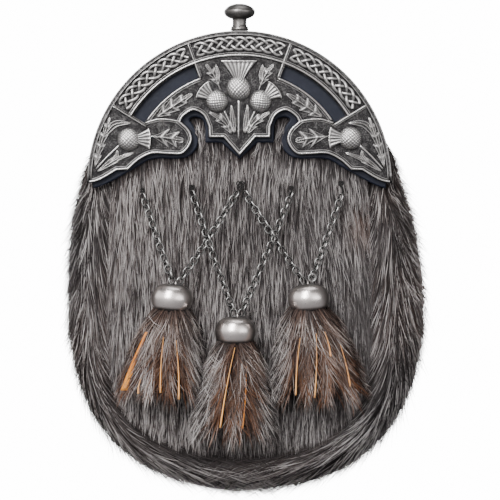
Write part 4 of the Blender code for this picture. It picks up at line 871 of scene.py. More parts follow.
def border_starts(side, count):
    """Places for the hairs of one half, more of them in front than behind, and whether each is a guard
    hair."""
    rows, columns = roll_grid.shape[:2]
    row = np.arange(rows)[:, None] / (rows - 1)
    near_front = 1.25 - 0.75 * np.arange(columns) / (columns - 1)
    on_side = ((row < 0.515) if side > 0 else (row > 0.485)) * near_front
    a, b = scatter(border_skin, count, on_side)
    root = on_skin(border_skin, "place", a, b)
    below = ramp(-root[:, 2], 118.0, 30.0)
    return a, b, root, b / (columns - 1), below, rng.random(count) < 0.16 + 0.03 * below


def border_slant(root, share, below, low, guard):
    """Degrees that a hair leans out from the outline's direction: SLANT by share, more at the shoulders and
    near the lowest point, and up to 22 more for a stray."""
    slant = np.interp(share, *SLANT)
    shoulder = ramp(root[:, 2], -60.0, 35.0)
    stray = (rng.random(len(root)) < 0.22 + 0.25 * shoulder) * (share > 0.2) * (share < 0.72)
    slant = np.where(slant < 0, slant * (1 - below), slant * (1 - 0.25 * below + 0.35 * shoulder))
    slant = slant + np.where(guard, 30, 24) * low + 5 * (drift(root, 14.0, 21) - 0.5)
    return slant + stray * rng.uniform(4, 22, len(root)), stray


# %% [markdown]
# Its hairs vary more in tone than those of the front, which keeps single strands apart. Those at the rim
# are paler, as light falls on them from all sides, and so is the whole left side. Along the front seam the
# hair is painted darker, a painted shade in the crease, most of all under the front's hem, where this
# painted shade stands for the deep shadow there. Guard hairs low on the border are painted paler, as
# painted light where the lower border faces away from the lamps.
# %% Colour of the border's hair
def border_tone(root, share, below, low, guard, side):
    """How pale and how warm each hair is, and how much of its tone its root has."""
    count = len(root)
    shoulder = ramp(root[:, 2], -60.0, 35.0)
    rim = ramp(share, 0.28, 0.26) * np.clip((0.95 - share) / 0.25, 0.25, 1)
    tone = np.where(guard, rng.uniform(0.26, 1.22, count),
                    rng.uniform(0.02, 0.32, count) + rim * (0.32 + 0.18 * below))
    tone = tone * (0.66 + 0.30 * drift(root, 12.0, 5)) * (1 + rim * (1.1 if side > 0 else 0.5 + 0.6 * below))
    # Painted light: guard hairs low on the border are made paler, as the lower border faces away from the
    # lamps.
    tone = tone * np.where(guard, 1.02 + 0.42 * below + 0.35 * low, 0.85 - 0.68 * below * (1 - rim))
    tone = tone * (1 - (0.22 if side > 0 else 0.08) * below)
    top = ramp(root[:, 2], -42.0, 22.0) * ramp(share, 0.12, 0.2)
    tone = np.maximum(tone * (1 + 0.7 * top), 0.30 * top)
    # Painted shade: hair near the front seam is darkened, most of all under the front's hem.
    crease = 1 - np.clip(1 - share / 0.24, 0, 1) * ((0.30 if side < 0 else 0.08) + 0.60 * below)
    reddish = 0.62 * drift(root, 20.0, 8) + 0.25 * shoulder
    warm = np.clip(reddish * rng.random(count) * (1.15 - 0.5 * guard), 0, 1)
    return tone * crease, warm, 0.25 + 0.5 * top


# %% [markdown]
# Both halves are grown by one function. On the right the outline is followed forwards, on the left
# backwards, and the two meet at the lowest point, where they cross over each other a little.
# %% Hair of the border
def border_hair(name, side, count):
    """One half of the border: side is 1 for the right half and -1 for the left."""
    a, b, root, share, below, guard = border_starts(side, count)
    low = below * np.exp(-(root[:, 0] / 34.0) ** 2)
    length = np.where(guard, rng.uniform(15, 24, count), rng.uniform(9, 16, count))
    slant, stray = border_slant(root, share, below, low, guard)
    course = side * (np.pi / 2 - np.radians(slant))
    outer = np.exp(-((share - 0.46) / 0.22) ** 2)
    tip_height = np.where(guard, 3.0, 1.5) * (0.5 + 1.0 * outer) + 1.2 * guard * below + 2.4 * stray
    lift = (np.where(guard, 1.0, 0.4)[:, None], tip_height[:, None])
    hairs = grow(border_skin, a, b, length, course, BORDER_PATCH, np.where(guard, 0.15, 0.50)[:, None], lift,
                 np.where(guard, 0.36, 0.46), levels=4, bend=0.8, main="a", spread=0.20)
    tone, warm, roots = border_tone(root, share, below, low, guard, side)
    ride(hair_piece(name, hairs, tone, warm, grey_fur, roots), "grey_fur")


border_hair("border_fur_hair_right", 1.0, int(BORDER_HAIRS * THIN))
border_hair("border_fur_hair_left", -1.0, int(BORDER_HAIRS * THIN))

# %% [markdown]
# ## Leather behind the cantle
# A dark blue leather shape shows round the cantle's lower edge and in its two windows. A flat outline that
# is filled and given rounded edges is what a 2D curve with a bevel does, so the outline goes into a curve
# that is turned into a mesh at once. The same helper makes the cast plate, the back panel and the closing
# tab.
# %% Filled outlines with rounded edges
def slab(name, loops, y_front, y_back, rounding, finish, steps=2, crest=None):
    """Outlines in the XZ plane, filled, with their edges rounded: the outline goes in by the rounding and the
    bevel brings it out again. Loops inside the first are holes."""
    curve = bpy.data.curves.new(name, "CURVE")
    curve.dimensions, curve.fill_mode = "2D", "BOTH"
    curve.extrude = (abs(y_front - y_back) / 2 - rounding) * MM
    curve.bevel_depth, curve.bevel_resolution, curve.offset = rounding * MM, steps, -rounding * MM
    for loop in loops:
        spline = curve.splines.new("POLY")
        spline.points.add(len(loop) - 1)
        flat_zero = 0 * loop[:, 0]
        spline.points.foreach_set("co", (np.column_stack((loop, flat_zero, 1 / MM + flat_zero)) * MM).ravel())
        spline.use_cyclic_u = True
    guide = bpy.data.objects.new(name, curve)
    bpy.context.scene.collection.objects.link(guide)
    mesh = bpy.data.meshes.new_from_object(guide.evaluated_get(bpy.context.evaluated_depsgraph_get()))
    bpy.data.objects.remove(guide)
    shift = Matrix.Translation((0, (y_front + y_back) / 2 * MM, 0))
    mesh.transform(shift @ Matrix.Rotation(np.pi / 2, 4, "X"))
    work = bmesh.new()
    work.from_mesh(mesh)
    bmesh.ops.remove_doubles(work, verts=work.verts, dist=0.00001)
    bmesh.ops.recalc_face_normals(work, faces=work.faces)
    work.to_mesh(mesh)
    work.free()
    mesh.materials.clear()
    mesh.materials.append(finish)
    if crest is not None:
        values = mesh.attributes.new("crest", "FLOAT", "POINT")
        values.data.foreach_set("value", np.full(len(mesh.vertices), crest, dtype=np.float32))
    piece = bpy.data.objects.new(name, mesh)
    bpy.context.scene.collection.objects.link(piece)
    return piece


backing = slab("cantle_leather", [leather_loop], *BACKING_Y, 0.8, backing_leather, steps=3)
ride(backing, "backing_leather", "cantle_backing")

# %% [markdown]
# ## The cantle
# The cantle is one pewter casting: a plate with two windows, raised rims, three panels of plait and five
# thistles with their leaves. The real one is carved once and cast. Here each raised form is a strip or a
# shell that grows out of the plate's floor, so its edges stay crisp at any distance.
# %% Plate and flange
PLATE_FRONT, PLATE_BACK, CANTLE_RADIUS, RIM = -44.6, -42.6, 76.3, 2.0
ARC_CORNER, DIVIDER, WING, FLANGE_END = 87.0, 20.2, 58.6, 79.8
WINDOW_LOW, WINDOW_HIGH = 56.4, 63.0
CANTLE_EDGE = (
    ((75.3, -33.0), (71.8, -32.3), (67.8, -30.5), (61.8, -26.8)),
    ((61.8, -26.8), (56.2, -26.5)),
    ((56.2, -26.5), (50.7, -21.7), (43.9, -18.5), (35.1, -18.7), (28.8, -18.4), (24.8, -13.0), (26.0, -7.8),
     (30.6, -3.4)),
    ((30.6, -3.4), (28.4, 0.2), (23.2, 3.2), (17.6, 0.6), (14.6, -5.6)),
    ((14.6, -5.6), (14.5, -10.3)),
    ((14.5, -10.3), (7.6, -10.3)),
    ((7.6, -10.3), (0.0, -18.9)),
)

lower_edge = joined(*[smooth_run(run, 8) for run in CANTLE_EDGE])
rim_line = both_sides(joined(arc(CANTLE_RADIUS - RIM / 2, 0, ARC_CORNER), lower_edge))
plate_line = rim_line + mitres(rim_line, closed=True) * RIM / 2
margin = np.degrees(RIM / 2 / WINDOW_LOW)
holes = [np.vstack((arc(WINDOW_HIGH, side * (DIVIDER + margin), side * (WING - margin)),
                    arc(WINDOW_LOW, side * (WING - margin), side * (DIVIDER + margin)))) for side in (1, -1)]
plate = slab("cantle_plate", [plate_line] + holes, PLATE_FRONT, PLATE_BACK, 0.25, pewter, crest=0.08)
ride(plate, "pewter", "cantle")

# %% [markdown]
# The cantle's flange runs back from the plate's edge over the edge of the pouch. It is the same all round,
# so a small section of (radius, y) is turned about the centre of the arc. The top wall of the pouch is made
# so too.
# %% Flange
FLANGE = ((76.3, -36.1), (76.3, -44.2), (76.0, -44.6), (74.8, -44.6), (74.6, -36.1), (74.9, -35.8),
          (76.0, -35.8))


def bent(section, end, steps):
    """A section of (radius, y) carried round the arc's centre from -end to end degrees: a ring at each
    step."""
    turn = np.radians(np.linspace(-end, end, steps))[:, None]
    radius, y = np.array(section).T
    return np.stack((radius * np.sin(turn), y + 0 * turn, ARC_Z + radius * np.cos(turn)), axis=-1)


flange = Shells()
flange.add(bent(FLANGE, FLANGE_END, 181), 0.30)
ride(flange.make("cantle_flange", pewter), "pewter")

# %% [markdown]
# A rim is a profile carried along a line: each point of the line goes sideways by the profile's first
# number and forwards by its second. The inner rims are a round bead with a finer one beside it, and the
# outer one is a shallow groove between two edges.
# %% Raised strips
def along(line, profile, closed=False, base=0.4):
    """Rings of a strip: line + offset * mitre, raised by height over the floor, closed below the floor."""
    offset, height = np.asarray(profile).T
    offset, height = np.append(offset, offset[[-1, 0]]), np.append(height, (-base, -base))
    flat = line[:, None] + mitres(line, closed)[:, None] * offset[None, :, None]
    return np.stack((flat[..., 0], PLATE_FRONT - height[None] + 0 * flat[..., 0], flat[..., 1]), axis=-1)


BEAD = np.array([(-1.1, 0.0), (-1.04, 0.55), (-0.84, 0.82), (-0.64, 0.50), (-0.48, 0.34), (-0.30, 0.85),
                 (0.0, 1.25), (0.3, 1.36), (0.6, 1.25), (0.88, 0.85), (1.0, 0.35), (1.05, 0.0)])
BEAD_CREST = np.array([0.0, 0.35, 0.78, 0.10, 0.0, 0.45, 0.95, 1.0, 0.90, 0.35, 0.0, 0.0, 0.0, 0.0])
PLAIN = np.array([(-1.3, 0.0), (-1.22, 0.9), (-1.02, 1.42), (-0.80, 1.22), (-0.55, 1.02), (0.15, 0.95),
                  (0.50, 1.12), (0.78, 1.15), (0.97, 0.80), (1.0, 0.0)])
PLAIN_CREST = np.array([0.0, 0.30, 0.80, 0.40, 0.15, 0.18, 0.45, 0.55, 0.25, 0.1, 0.0, 0.0])
PANEL_RADIUS, LOWER_RADIUS, SPOKE_TOP, LOWER_SHORT = 64.5, 55.5, 74.6, 3.0
SPOKES = ({"angle": DIVIDER, "low": 55.5}, {"angle": WING, "low": 54.6})
LOBE_EDGE = ((30.6, -3.4), (35.0, -2.5), (41.0, -2.4), (46.9, -4.1))

rims = Shells()
outer_arc = arc(CANTLE_RADIUS - RIM / 2, -ARC_CORNER, ARC_CORNER, 1.0)
outer_arc = np.vstack((lower_edge[:1] * (-1, 1), outer_arc, lower_edge[:1]))
rims.add(along(outer_arc, PLAIN), PLAIN_CREST)
rims.add(along(np.vstack((lower_edge, (lower_edge * (-1, 1))[-2::-1])), BEAD), BEAD_CREST)
rims.add(along(arc(PANEL_RADIUS, -WING, WING, 1.0), BEAD * (-1, 1)), BEAD_CREST)
for side in (1, -1):
    low_arc = arc(LOWER_RADIUS, side * DIVIDER, side * (WING - LOWER_SHORT), 1.0)
    rims.add(along(low_arc, BEAD * (0.9 * side, 1)), BEAD_CREST)
    for row in SPOKES:
        way = np.array((side * np.sin(np.radians(row["angle"])), np.cos(np.radians(row["angle"]))))
        spoke = np.linspace(row["low"], SPOKE_TOP, 12)[:, None] * way + (0, ARC_Z)
        rims.add(along(spoke, BEAD * (0.75, 0.9)), BEAD_CREST * 0.9)
    rims.add(along(smooth_run(LOBE_EDGE, 8) * (side, 1), BEAD * (0.8 * side, 0.95)), BEAD_CREST)
ride(rims.make("cantle_rims", pewter), "pewter")

# %% [markdown]
# The plait has four strands. Each swings across the panel on a sine wave, a quarter of a wave behind the
# next, so they cross on three rows. A strand's height is another wave that puts it over and under in turn,
# and where it goes under, it is less polished.
# %% Plait
PANEL_LOW, PANEL_HIGH = 66.0, 73.8
PLAIT_RADIUS, PITCH, SWING, PER_TURN = (PANEL_LOW + PANEL_HIGH) / 2 - 0.1, 5.0, 3.0, 14
PLAIT_ENDS = ((-DIVIDER + 1.2, DIVIDER - 1.2), (DIVIDER + 1.3, WING - 1.3), (-WING + 1.3, -DIVIDER - 1.3))
END_GAP = 0.7
STRAND = np.array([(-0.90, 0.0), (-0.85, 0.34), (-0.54, 0.62), (0.0, 0.76), (0.54, 0.62), (0.85, 0.34),
                   (0.90, 0.0)])
STRAND_CREST = np.array([0.0, 0.22, 0.62, 0.85, 0.62, 0.22, 0.0, 0.0, 0.0])
OVER_AT, OVER = (0, 0.5, 1.5, 2, 2.5, 3.5, 4), (1, -1, 1, -1, 1, -1, 1)

plait = Shells()
for start, end in PLAIT_ENDS:
    length = np.radians(end - start) * PLAIT_RADIUS - 2 * END_GAP
    repeats = int(round(length / PITCH))
    u = np.linspace(0, repeats, repeats * PER_TURN + 1)
    turn = np.radians(start) + (END_GAP + u * length / repeats) / PLAIT_RADIUS
    for k in range(4):
        phase = u + k + 0.5
        radius = PLAIT_RADIUS + SWING * np.sin(phase * np.pi / 2)
        over = np.interp(phase % 4, OVER_AT, OVER)[:, None]
        strand = along(np.stack((radius * np.sin(turn), ARC_Z + radius * np.cos(turn)), axis=1), STRAND)
        strand[:, 1:6, 1] -= 0.38 * over + 0.34
        plait.add(strand, STRAND_CREST[None] * (0.70 + 0.30 * over))
    print("panel of", repeats, "repeats,", round(float(length), 1), "mm")
ride(plait.make("cantle_plait", pewter), "pewter")

# %% [markdown]
# The thistles stand highest. A bulb is half an ellipsoid whose radius rises and falls in a net of lozenges,
# like the scales of the flower. The crown is a fan with flutes that run together at its neck.
# %% Thistles
THISTLES = (
    {"x": -0.3, "z": 13.3, "bulb": 5.9, "turn": 90, "crown": 14.0, "spread": 9.1, "bow": 0.0, "flutes": 7},
    {"x": 10.5, "z": 7.0, "bulb": 5.3, "turn": 38, "crown": 10.6, "spread": 5.4, "bow": 1.2, "flutes": 5},
    {"x": -11.2, "z": 7.0, "bulb": 5.3, "turn": 142, "crown": 10.6, "spread": 5.4, "bow": 1.2, "flutes": 5},
    {"x": 55.6, "z": -11.6, "bulb": 5.5, "turn": 178, "crown": 11.0, "spread": 5.4, "bow": 0.8, "flutes": 5},
    {"x": -55.4, "z": -12.2, "bulb": 5.5, "turn": 2, "crown": 11.0, "spread": 5.4, "bow": 0.8, "flutes": 5},
)
BULB_RISE, SCALE_ANGLE, SUNK = 3.4, 20.0, 0.4


def on_axis(head, far, side):
    """A place (x, z) in the plate from how far it lies along the flower's axis and how far to its side."""
    turn = np.radians(head["turn"])
    c, s = np.cos(turn), np.sin(turn)
    return head["x"] + far * c - side * s, head["z"] + far * s + side * c


def relief(x, high, z, crest):
    """Rows of points raised by `high` over the plate, each row closed by two points sunk below the plate's
    face."""
    top = np.stack((x, PLATE_FRONT - high, z), axis=-1)
    foot = top[:, [-1, 0]]
    foot[..., 1] = PLATE_FRONT + SUNK
    return np.concatenate((top, foot), axis=1), np.hstack((crest, 0 * crest[:, :2]))


def bulb(head):
    """Half an ellipsoid about the flower's axis: (R sin p, R cos p sin q) in the plate and rise cos p cos
    q. Its radius grows by 8.5% in the middle of each lozenge of a net, which is a product of two sines."""
    p = np.radians(np.linspace(-84, 84, 57))[:, None]
    q = np.radians(np.linspace(-96, 96, 65))[None]
    row, column = p / np.radians(SCALE_ANGLE), q / np.radians(SCALE_ANGLE)
    net = np.abs(np.sin(np.pi * (row + column))) * np.abs(np.sin(np.pi * (row - column)))
    scale = 1 + 0.085 * net
    x, z = on_axis(head, head["bulb"] * scale * np.sin(p), head["bulb"] * scale * np.cos(p) * np.sin(q))
    high = BULB_RISE * scale * np.cos(p) * np.cos(q)
    crest = np.clip(0.30 + 0.80 * net ** 0.6, 0, 1) * np.clip(0.30 + 0.90 * np.cos(p) * np.cos(q), 0, 1)
    return np.stack((x, PLATE_FRONT - high, z), axis=-1), crest


def crown(head):
    """A fan from the bulb's neck: its half width grows with t, its top is fluted, and its end bows
    outwards."""
    t = np.linspace(0, 1, 24)[:, None]
    q = np.linspace(-1, 1, head["flutes"] * 8 + 1)[None]
    reach = head["bulb"] * 0.75 + (head["crown"] - head["bulb"] * 0.75) * t
    half = head["bulb"] * 0.42 + (head["spread"] - head["bulb"] * 0.42) * t ** 1.15
    x, z = on_axis(head, reach - head["bow"] * t * q ** 2, half * q)
    flute = np.abs(np.cos(np.pi * q * head["flutes"] / 2))
    lip = np.clip((t - 0.88) / 0.06, 0, 1)
    high = (1.15 + 0.55 * flute * (1 - lip) * t ** 0.3 + 0.75 * lip + 0.5 * (1 - t)) * (1 - 0.25 * q ** 2)
    crest = np.clip(0.36 + 0.50 * flute + lip, 0, 1) * (0.7 + 0.3 * t)
    return relief(x, high, z, crest)


thistles = Shells()
for head in THISTLES:
    thistles.add(*bulb(head))
    thistles.add(*crown(head))
ride(thistles.make("cantle_thistles", pewter), "pewter")

# %% [markdown]
# Stems are half-round strips. A thistle leaf is a blade with pointed lobes, a raised outline, a midrib and
# a vein to each lobe. Its half width climbs to a lobe's point and drops behind it, and each row of points
# leans towards the tip, so the lobes point forwards. The table gives the right half of the cantle; the left
# half is its mirror.
# %% Stems and leaves
MIDDLE_STEM = {"half": 0.78, "ends": (1.0, 0.6), "route": ((-0.4, 8.6), (-0.5, -2.0), (-0.5, -12.0))}
STEMS = (
    {"half": 0.60, "ends": (0.75, 1.0), "route": ((7.9, 2.6), (5.0, -3.6), (2.7, -9.3))},
    {"half": 0.72, "ends": (0.9, 0.6), "route": ((59.6, -14.6), (66.0, -20.6), (72.2, -27.4))},
    {"half": 0.50, "ends": (0.9, 0.6), "route": ((45.2, -10.6), (40.0, -10.9), (36.0, -11.2))},
    {"half": 0.45, "ends": (0.9, 0.6), "route": ((9.6, 12.4), (10.2, 14.2), (11.2, 17.0))},
)
LEAVES = (
    {"route": ((2.2, -9.2), (3.4, -2.2), (4.1, 5.4)), "half": 1.25, "lobes": 4, "notch": 0.25, "lean": 0.5},
    {"route": ((3.9, -9.6), (7.6, -3.6), (15.2, 1.7)), "half": 2.7, "lobes": 3, "notch": 0.62, "lean": 0.55},
    {"route": ((10.4, 14.6), (12.6, 19.6), (17.0, 25.6)), "half": 2.9, "lobes": 3, "notch": 0.72,
     "lean": 0.5},
    {"route": ((11.0, 17.0), (10.8, 21.4), (12.0, 25.8)), "half": 0.8, "lobes": 1, "notch": 0.0, "lean": 0.0},
    {"route": ((41.4, -1.0), (33.4, 4.4), (23.4, 10.8)), "half": 3.6, "lobes": 4, "notch": 0.50,
     "lean": 0.55},
    {"route": ((72.6, -26.6), (70.0, -17.0), (67.4, -8.6), (64.6, -0.8)), "half": 2.3, "lobes": 5,
     "notch": 0.60, "lean": 0.6},
    {"route": ((67.8, -10.6), (62.4, -4.6), (54.0, -3.9)), "half": 1.5, "lobes": 1, "notch": 0.0,
     "lean": 0.0},
    {"route": ((71.6, -28.6), (62.6, -22.6), (52.6, -18.6)), "half": 1.6, "lobes": 2, "notch": 0.45,
     "lean": 0.5},
    {"route": ((64.8, -23.6), (61.6, -20.6), (61.2, -17.2)), "half": 0.9, "lobes": 1, "notch": 0.0,
     "lean": 0.0},
    {"route": ((43.6, -10.7), (36.0, -11.4), (28.0, -12.8)), "half": 4.9, "lobes": 3, "notch": 0.72,
     "lean": 0.75},
)
EDGE_LINE, RIB_LINE = 0.42, 0.34
LEAF_ACROSS = np.array((-1, -0.9, -0.78, -0.6, -0.36, -0.16, -0.06, 0, 0.06, 0.16, 0.36, 0.6, 0.78, 0.9, 1))


def stem(row, side):
    """A half-round strip whose half width goes from one end's share of `half` to the other's: route + w q
    across, raised by 0.95 sqrt(1 - q^2) and lower at its ends."""
    route = smooth_run(np.array(row["route"]) * (side, 1), 10)
    t = np.linspace(0, 1, len(route))
    q = np.linspace(-1, 1, 7)[None]
    half = row["half"] * (row["ends"][0] + (row["ends"][1] - row["ends"][0]) * t)
    high = 0.95 * np.sqrt(np.maximum(1 - q ** 2, 0)) * np.minimum(1, np.minimum(t, 1 - t)[:, None] * 12 + 0.1)
    flat = route[:, None] + mitres(route)[:, None] * (half[:, None] * q)[..., None]
    return relief(flat[..., 0], high, flat[..., 1], (1 - np.abs(q) ** 2.5) * np.ones((len(t), 1)))


def leaf(row, side, per_lobe=9):
    """A lobed blade: (t, q) lies at route(t) + w q across + lean w |q| ahead. The half width w is half
    1.12 sin(pi t^0.8)^0.85 times 1 - notch (1 - s^1.5), and s climbs from 0 to 1 along each lobe."""
    t = np.linspace(0, 1, max(row["lobes"] * per_lobe, 16) + 1)
    line = smooth_run(np.array(row["route"]) * (side, 1), 20)
    route = np.stack([np.interp(t, np.linspace(0, 1, len(line)), line[:, k]) for k in (0, 1)], axis=1)
    climb = (t * row["lobes"] - 1e-6) % 1.0 if row["notch"] else np.ones_like(t)
    swell = row["half"] * 1.12 * np.maximum(np.sin(np.pi * t ** 0.8), 0.0) ** 0.85
    width = swell * (1 - row["notch"] * (1 - climb ** 1.5)) + 0.05
    q, w, far = LEAF_ACROSS, width[:, None], np.abs(LEAF_ACROSS)[None]
    ahead = np.gradient(route, axis=0)
    ahead /= np.linalg.norm(ahead, axis=1)[:, None]
    flat = route[:, None] + mitres(route)[:, None] * (w * q)[..., None]
    flat = flat + ahead[:, None] * (w * far * row["lean"])[..., None]
    edge = np.clip(1.25 - w * (1 - far) / EDGE_LINE, 0, 1)
    rib = np.clip(1.2 - w * far / RIB_LINE, 0, 1)
    vein = np.clip(1 - np.abs(climb[:, None] - 0.88) / 0.16, 0, 1) * (row["notch"] > 0.3) * 0.8
    raised = np.maximum(np.maximum(edge, rib), vein)
    high = (0.35 + 0.55 * raised + 0.30 * (1 - far)) * np.clip(w / 0.5, 0.25, 1)
    high = high * np.where(far > 0.99, 0.6, 1)
    return relief(flat[..., 0], high, flat[..., 1], np.where(far > 0.99, 0.10, 0.17 + 0.78 * raised))


leaves = Shells()
leaves.add(*stem(MIDDLE_STEM, 1))
for side in (1, -1):
    for row in STEMS:
        leaves.add(*stem(row, side))
    for row in LEAVES:
        leaves.add(*leaf(row, side))
ride(leaves.make("cantle_leaves", pewter), "pewter")

# %% [markdown]
# ## Knob, caps and tassels
# These metal pieces are turned on a lathe, so a profile of radius and height is carried round an axis. The
# knob stands on the cantle, and a barrel cap closes the top of each tassel. A cap hangs a little askew.
# %% Turned pieces
def turned(profile, turns=64):
    """Rings round Z: (r cos a, r sin a, h) for each point of the profile."""
    a = np.linspace(0, 2 * np.pi, turns + 1)[:-1]
    r, h = np.asarray(profile, dtype=float).T[..., None]
    return np.stack((r * np.cos(a), r * np.sin(a), h + 0 * a), axis=-1)


def posed(grid, place, tilt=0.0):
    """The grid turned about Y by an angle in degrees and moved to its place."""
    c, s = np.cos(np.radians(tilt)), np.sin(np.radians(tilt))
    return grid @ np.array([(c, 0, -s), (0, 1, 0), (s, 0, c)]) + np.asarray(place)


def hoop(major, minor, axis_x=False, steps=(28, 10)):
    """A ring of wire: ((R + r cos b) cos a, r sin b, (R + r cos b) sin a); axis_x turns it a quarter."""
    a = np.linspace(0, 2 * np.pi, steps[0] + 1)[:-1, None]
    b = np.linspace(0, 2 * np.pi, steps[1] + 1)[None, :-1]
    reach = major + minor * np.cos(b)
    flat = (reach * np.cos(a), minor * np.sin(b) + 0 * a, reach * np.sin(a))
    return np.stack((flat[1], flat[0], flat[2]) if axis_x else flat, axis=-1)


KNOB_PROFILE = smooth_run(((0.05, 13.6), (3.0, 13.25), (5.8, 12.1), (7.5, 10.4), (7.8, 9.2), (7.2, 7.7),
                           (5.4, 6.4), (3.9, 5.9), (3.55, 5.0), (3.55, 3.2), (3.7, 2.2), (4.25, 1.9),
                           (4.3, 1.2), (4.25, 0.1), (0.05, 0.0)), 4)
KNOB_PLACE, KNOB_CREST = (0.0, -40.4, 42.6), 0.75

knob = Shells()
knob.add(posed(turned(KNOB_PROFILE), KNOB_PLACE), KNOB_CREST)
ride(knob.make("knob_turned", dark_pewter), "pewter", "knob")

# %% [markdown]
# A cap is a hollow barrel: its profile runs down the outside, round the lip and up the inside. On top of
# its patina, its `crest` is painted high where a point faces the front, a painted reflection of the soft
# light before it, and low at the top, the lip and behind, a painted reflection of the dark round it; so
# `crest` follows both the height and the way a point faces. The chains hook into an eye of wire on the top.
# %% Caps of the tassels
TASSELS = {
    "left": {"x": -33.4, "z": -91.0, "tilt": 5, "eye": 1.2, "skirt_x": -40.6, "half": 20.0, "end": -142.5},
    "middle": {"x": -2.0, "z": -107.2, "tilt": 0, "eye": 1.1, "skirt_x": -3.4, "half": 20.0, "end": -163.0},
    "right": {"x": 34.2, "z": -91.0, "tilt": -5, "eye": 0.4, "skirt_x": 39.8, "half": 23.0, "end": -144.0},
}
CAP_Y, CAP_HEIGHT, CAP_TURNS = -57.5, 13.0, 64
EYE_RADIUS, EYE_WIRE = 1.7, 0.5
CAP_SIDE = smooth_run(((0.05, 6.75), (3.8, 6.5), (6.8, 5.5), (9.0, 3.4), (10.1, 0.4), (10.05, -2.2),
                       (9.2, -4.8), (7.9, -6.5)), 4)
CAP_PROFILE = np.vstack((CAP_SIDE, ((7.75, -6.95), (7.3, -7.1), (6.8, -7.0), (6.7, -6.4), (8.2, -3.2),
                                    (8.0, 2.3), (6.0, 4.0), (0.05, 4.5))))
# Painted reflection: crest falls at the top and at the lip, so they read dark, as if they mirrored dark
# surroundings.
CAP_CREST = np.interp(CAP_PROFILE[:, 1], (-6.3, -4.6, 4.9, 6.3), (0.10, 0.97, 0.97, 0.35))[:, None]

facing = -np.sin(np.linspace(0, 2 * np.pi, CAP_TURNS + 1)[:-1] + 0.15)
# Painted reflection: the side that faces the front gets a higher crest, as if it mirrored the soft light in
# front.
front_reflection = ramp(facing, 0.28, 0.45)[None]
for key, row in TASSELS.items():
    place = (row["x"], CAP_Y, row["z"])
    eye = hoop(EYE_RADIUS, EYE_WIRE, axis_x=True) + (row["eye"], 0, CAP_HEIGHT / 2 + 0.2)
    cap = Shells()
    cap.add(posed(turned(CAP_PROFILE, CAP_TURNS), place, row["tilt"]), CAP_CREST * (0.35 + 0.65 * front_reflection))
    cap.add(posed(eye, place, row["tilt"]), 0.5, loop_rows=True)
    ride(cap.make("cap_" + key, satin_pewter), "satin_pewter", "tassel_cap_" + key)

# %% [markdown]
# A tassel is strips of pelt drawn into the cap. Its fur leaves the cap's mouth at full width, widens as it
# falls and ends in pointed locks. Grey locks alternate with rust-brown ones beside the cut edges of the
# hide.
# %% Fur of the tassels
SKIRT = smooth_run(((-0.10, 0.32), (0.0, 0.45), (0.07, 0.54), (0.30, 0.70), (0.62, 0.84), (0.86, 0.93),
                    (1.06, 0.98)), 5)
SKIRT_DEPTH = smooth_run(((-0.10, 5.6), (0.0, 7.2), (0.10, 8.3), (0.50, 8.8), (0.90, 8.0), (1.06, 7.2)), 5)
FALL_START, FALL_SPAN, FALL_END = -0.06, 1.06, 1.06
CAP_MOUTH, PELT_IN = 0.6, 1.4
TASSEL_HAIRS, TASSEL_GUARDS, TASSEL_PATCH = 7600, 0.24, np.array([1.8, 8.0])
STRIPS = (
    {"name": "strip_left_1", "top": (-45.8, -108.0), "end": (-56.8, -136.8), "width": 4.0, "pale": 0.1},
    {"name": "strip_left_2", "top": (-37.3, -110.5), "end": (-38.8, -137.8), "width": 1.0},
    {"name": "strip_left_3", "top": (-31.2, -112.0), "end": (-29.8, -141.0), "width": 1.1},
    {"name": "strip_middle_1", "top": (-2.2, -115.6), "end": (-9.4, -155.0), "width": 1.0},
    {"name": "strip_middle_2", "top": (3.4, -124.8), "end": (1.6, -155.4), "width": 0.7, "pale": 0.2,
     "sunk": 0.9},
    {"name": "strip_left_4", "top": (-48.4, -131.0), "end": (-49.8, -138.2), "width": 1.0},
    {"name": "strip_right_4", "top": (42.0, -107.8), "end": (45.0, -119.8), "width": 0.9},
    {"name": "strip_right_1", "top": (30.0, -110.8), "end": (27.8, -139.0), "width": 0.95},
    {"name": "strip_right_2", "top": (37.9, -108.7), "end": (37.1, -140.2), "width": 0.85},
    {"name": "strip_right_3", "top": (49.8, -114.1), "end": (54.7, -134.7), "width": 0.9},
)


def tassel_of(strip):
    """Which tassel a strip belongs to: the middle word of its name."""
    return strip["name"].split("_")[1]


def skirt_middle(row, fall):
    """The middle of a tassel's fur in X: it slides from the cap's place to skirt_x as the fur falls."""
    return row["x"] + (row["skirt_x"] - row["x"]) * fall


def skirt_grid(row, turns=64, rows=46, grow_by=0.0):
    """Rings of a tassel's fur: an ellipse whose middle slides sideways and whose half width follows SKIRT."""
    fall = np.linspace(FALL_START, 1.0, rows)[:, None]
    a = np.linspace(0, 2 * np.pi, turns + 1)[None]
    top = row["z"] - CAP_HEIGHT / 2 - CAP_MOUTH
    half = row["half"] * np.interp(fall, *SKIRT.T) + grow_by
    deep = np.interp(fall, *SKIRT_DEPTH.T) + grow_by
    x = skirt_middle(row, np.maximum(fall, 0)) + half * np.cos(a)
    return np.stack((x, CAP_Y + deep * np.sin(a), top + (row["end"] - top) * fall + 0 * a), axis=-1)


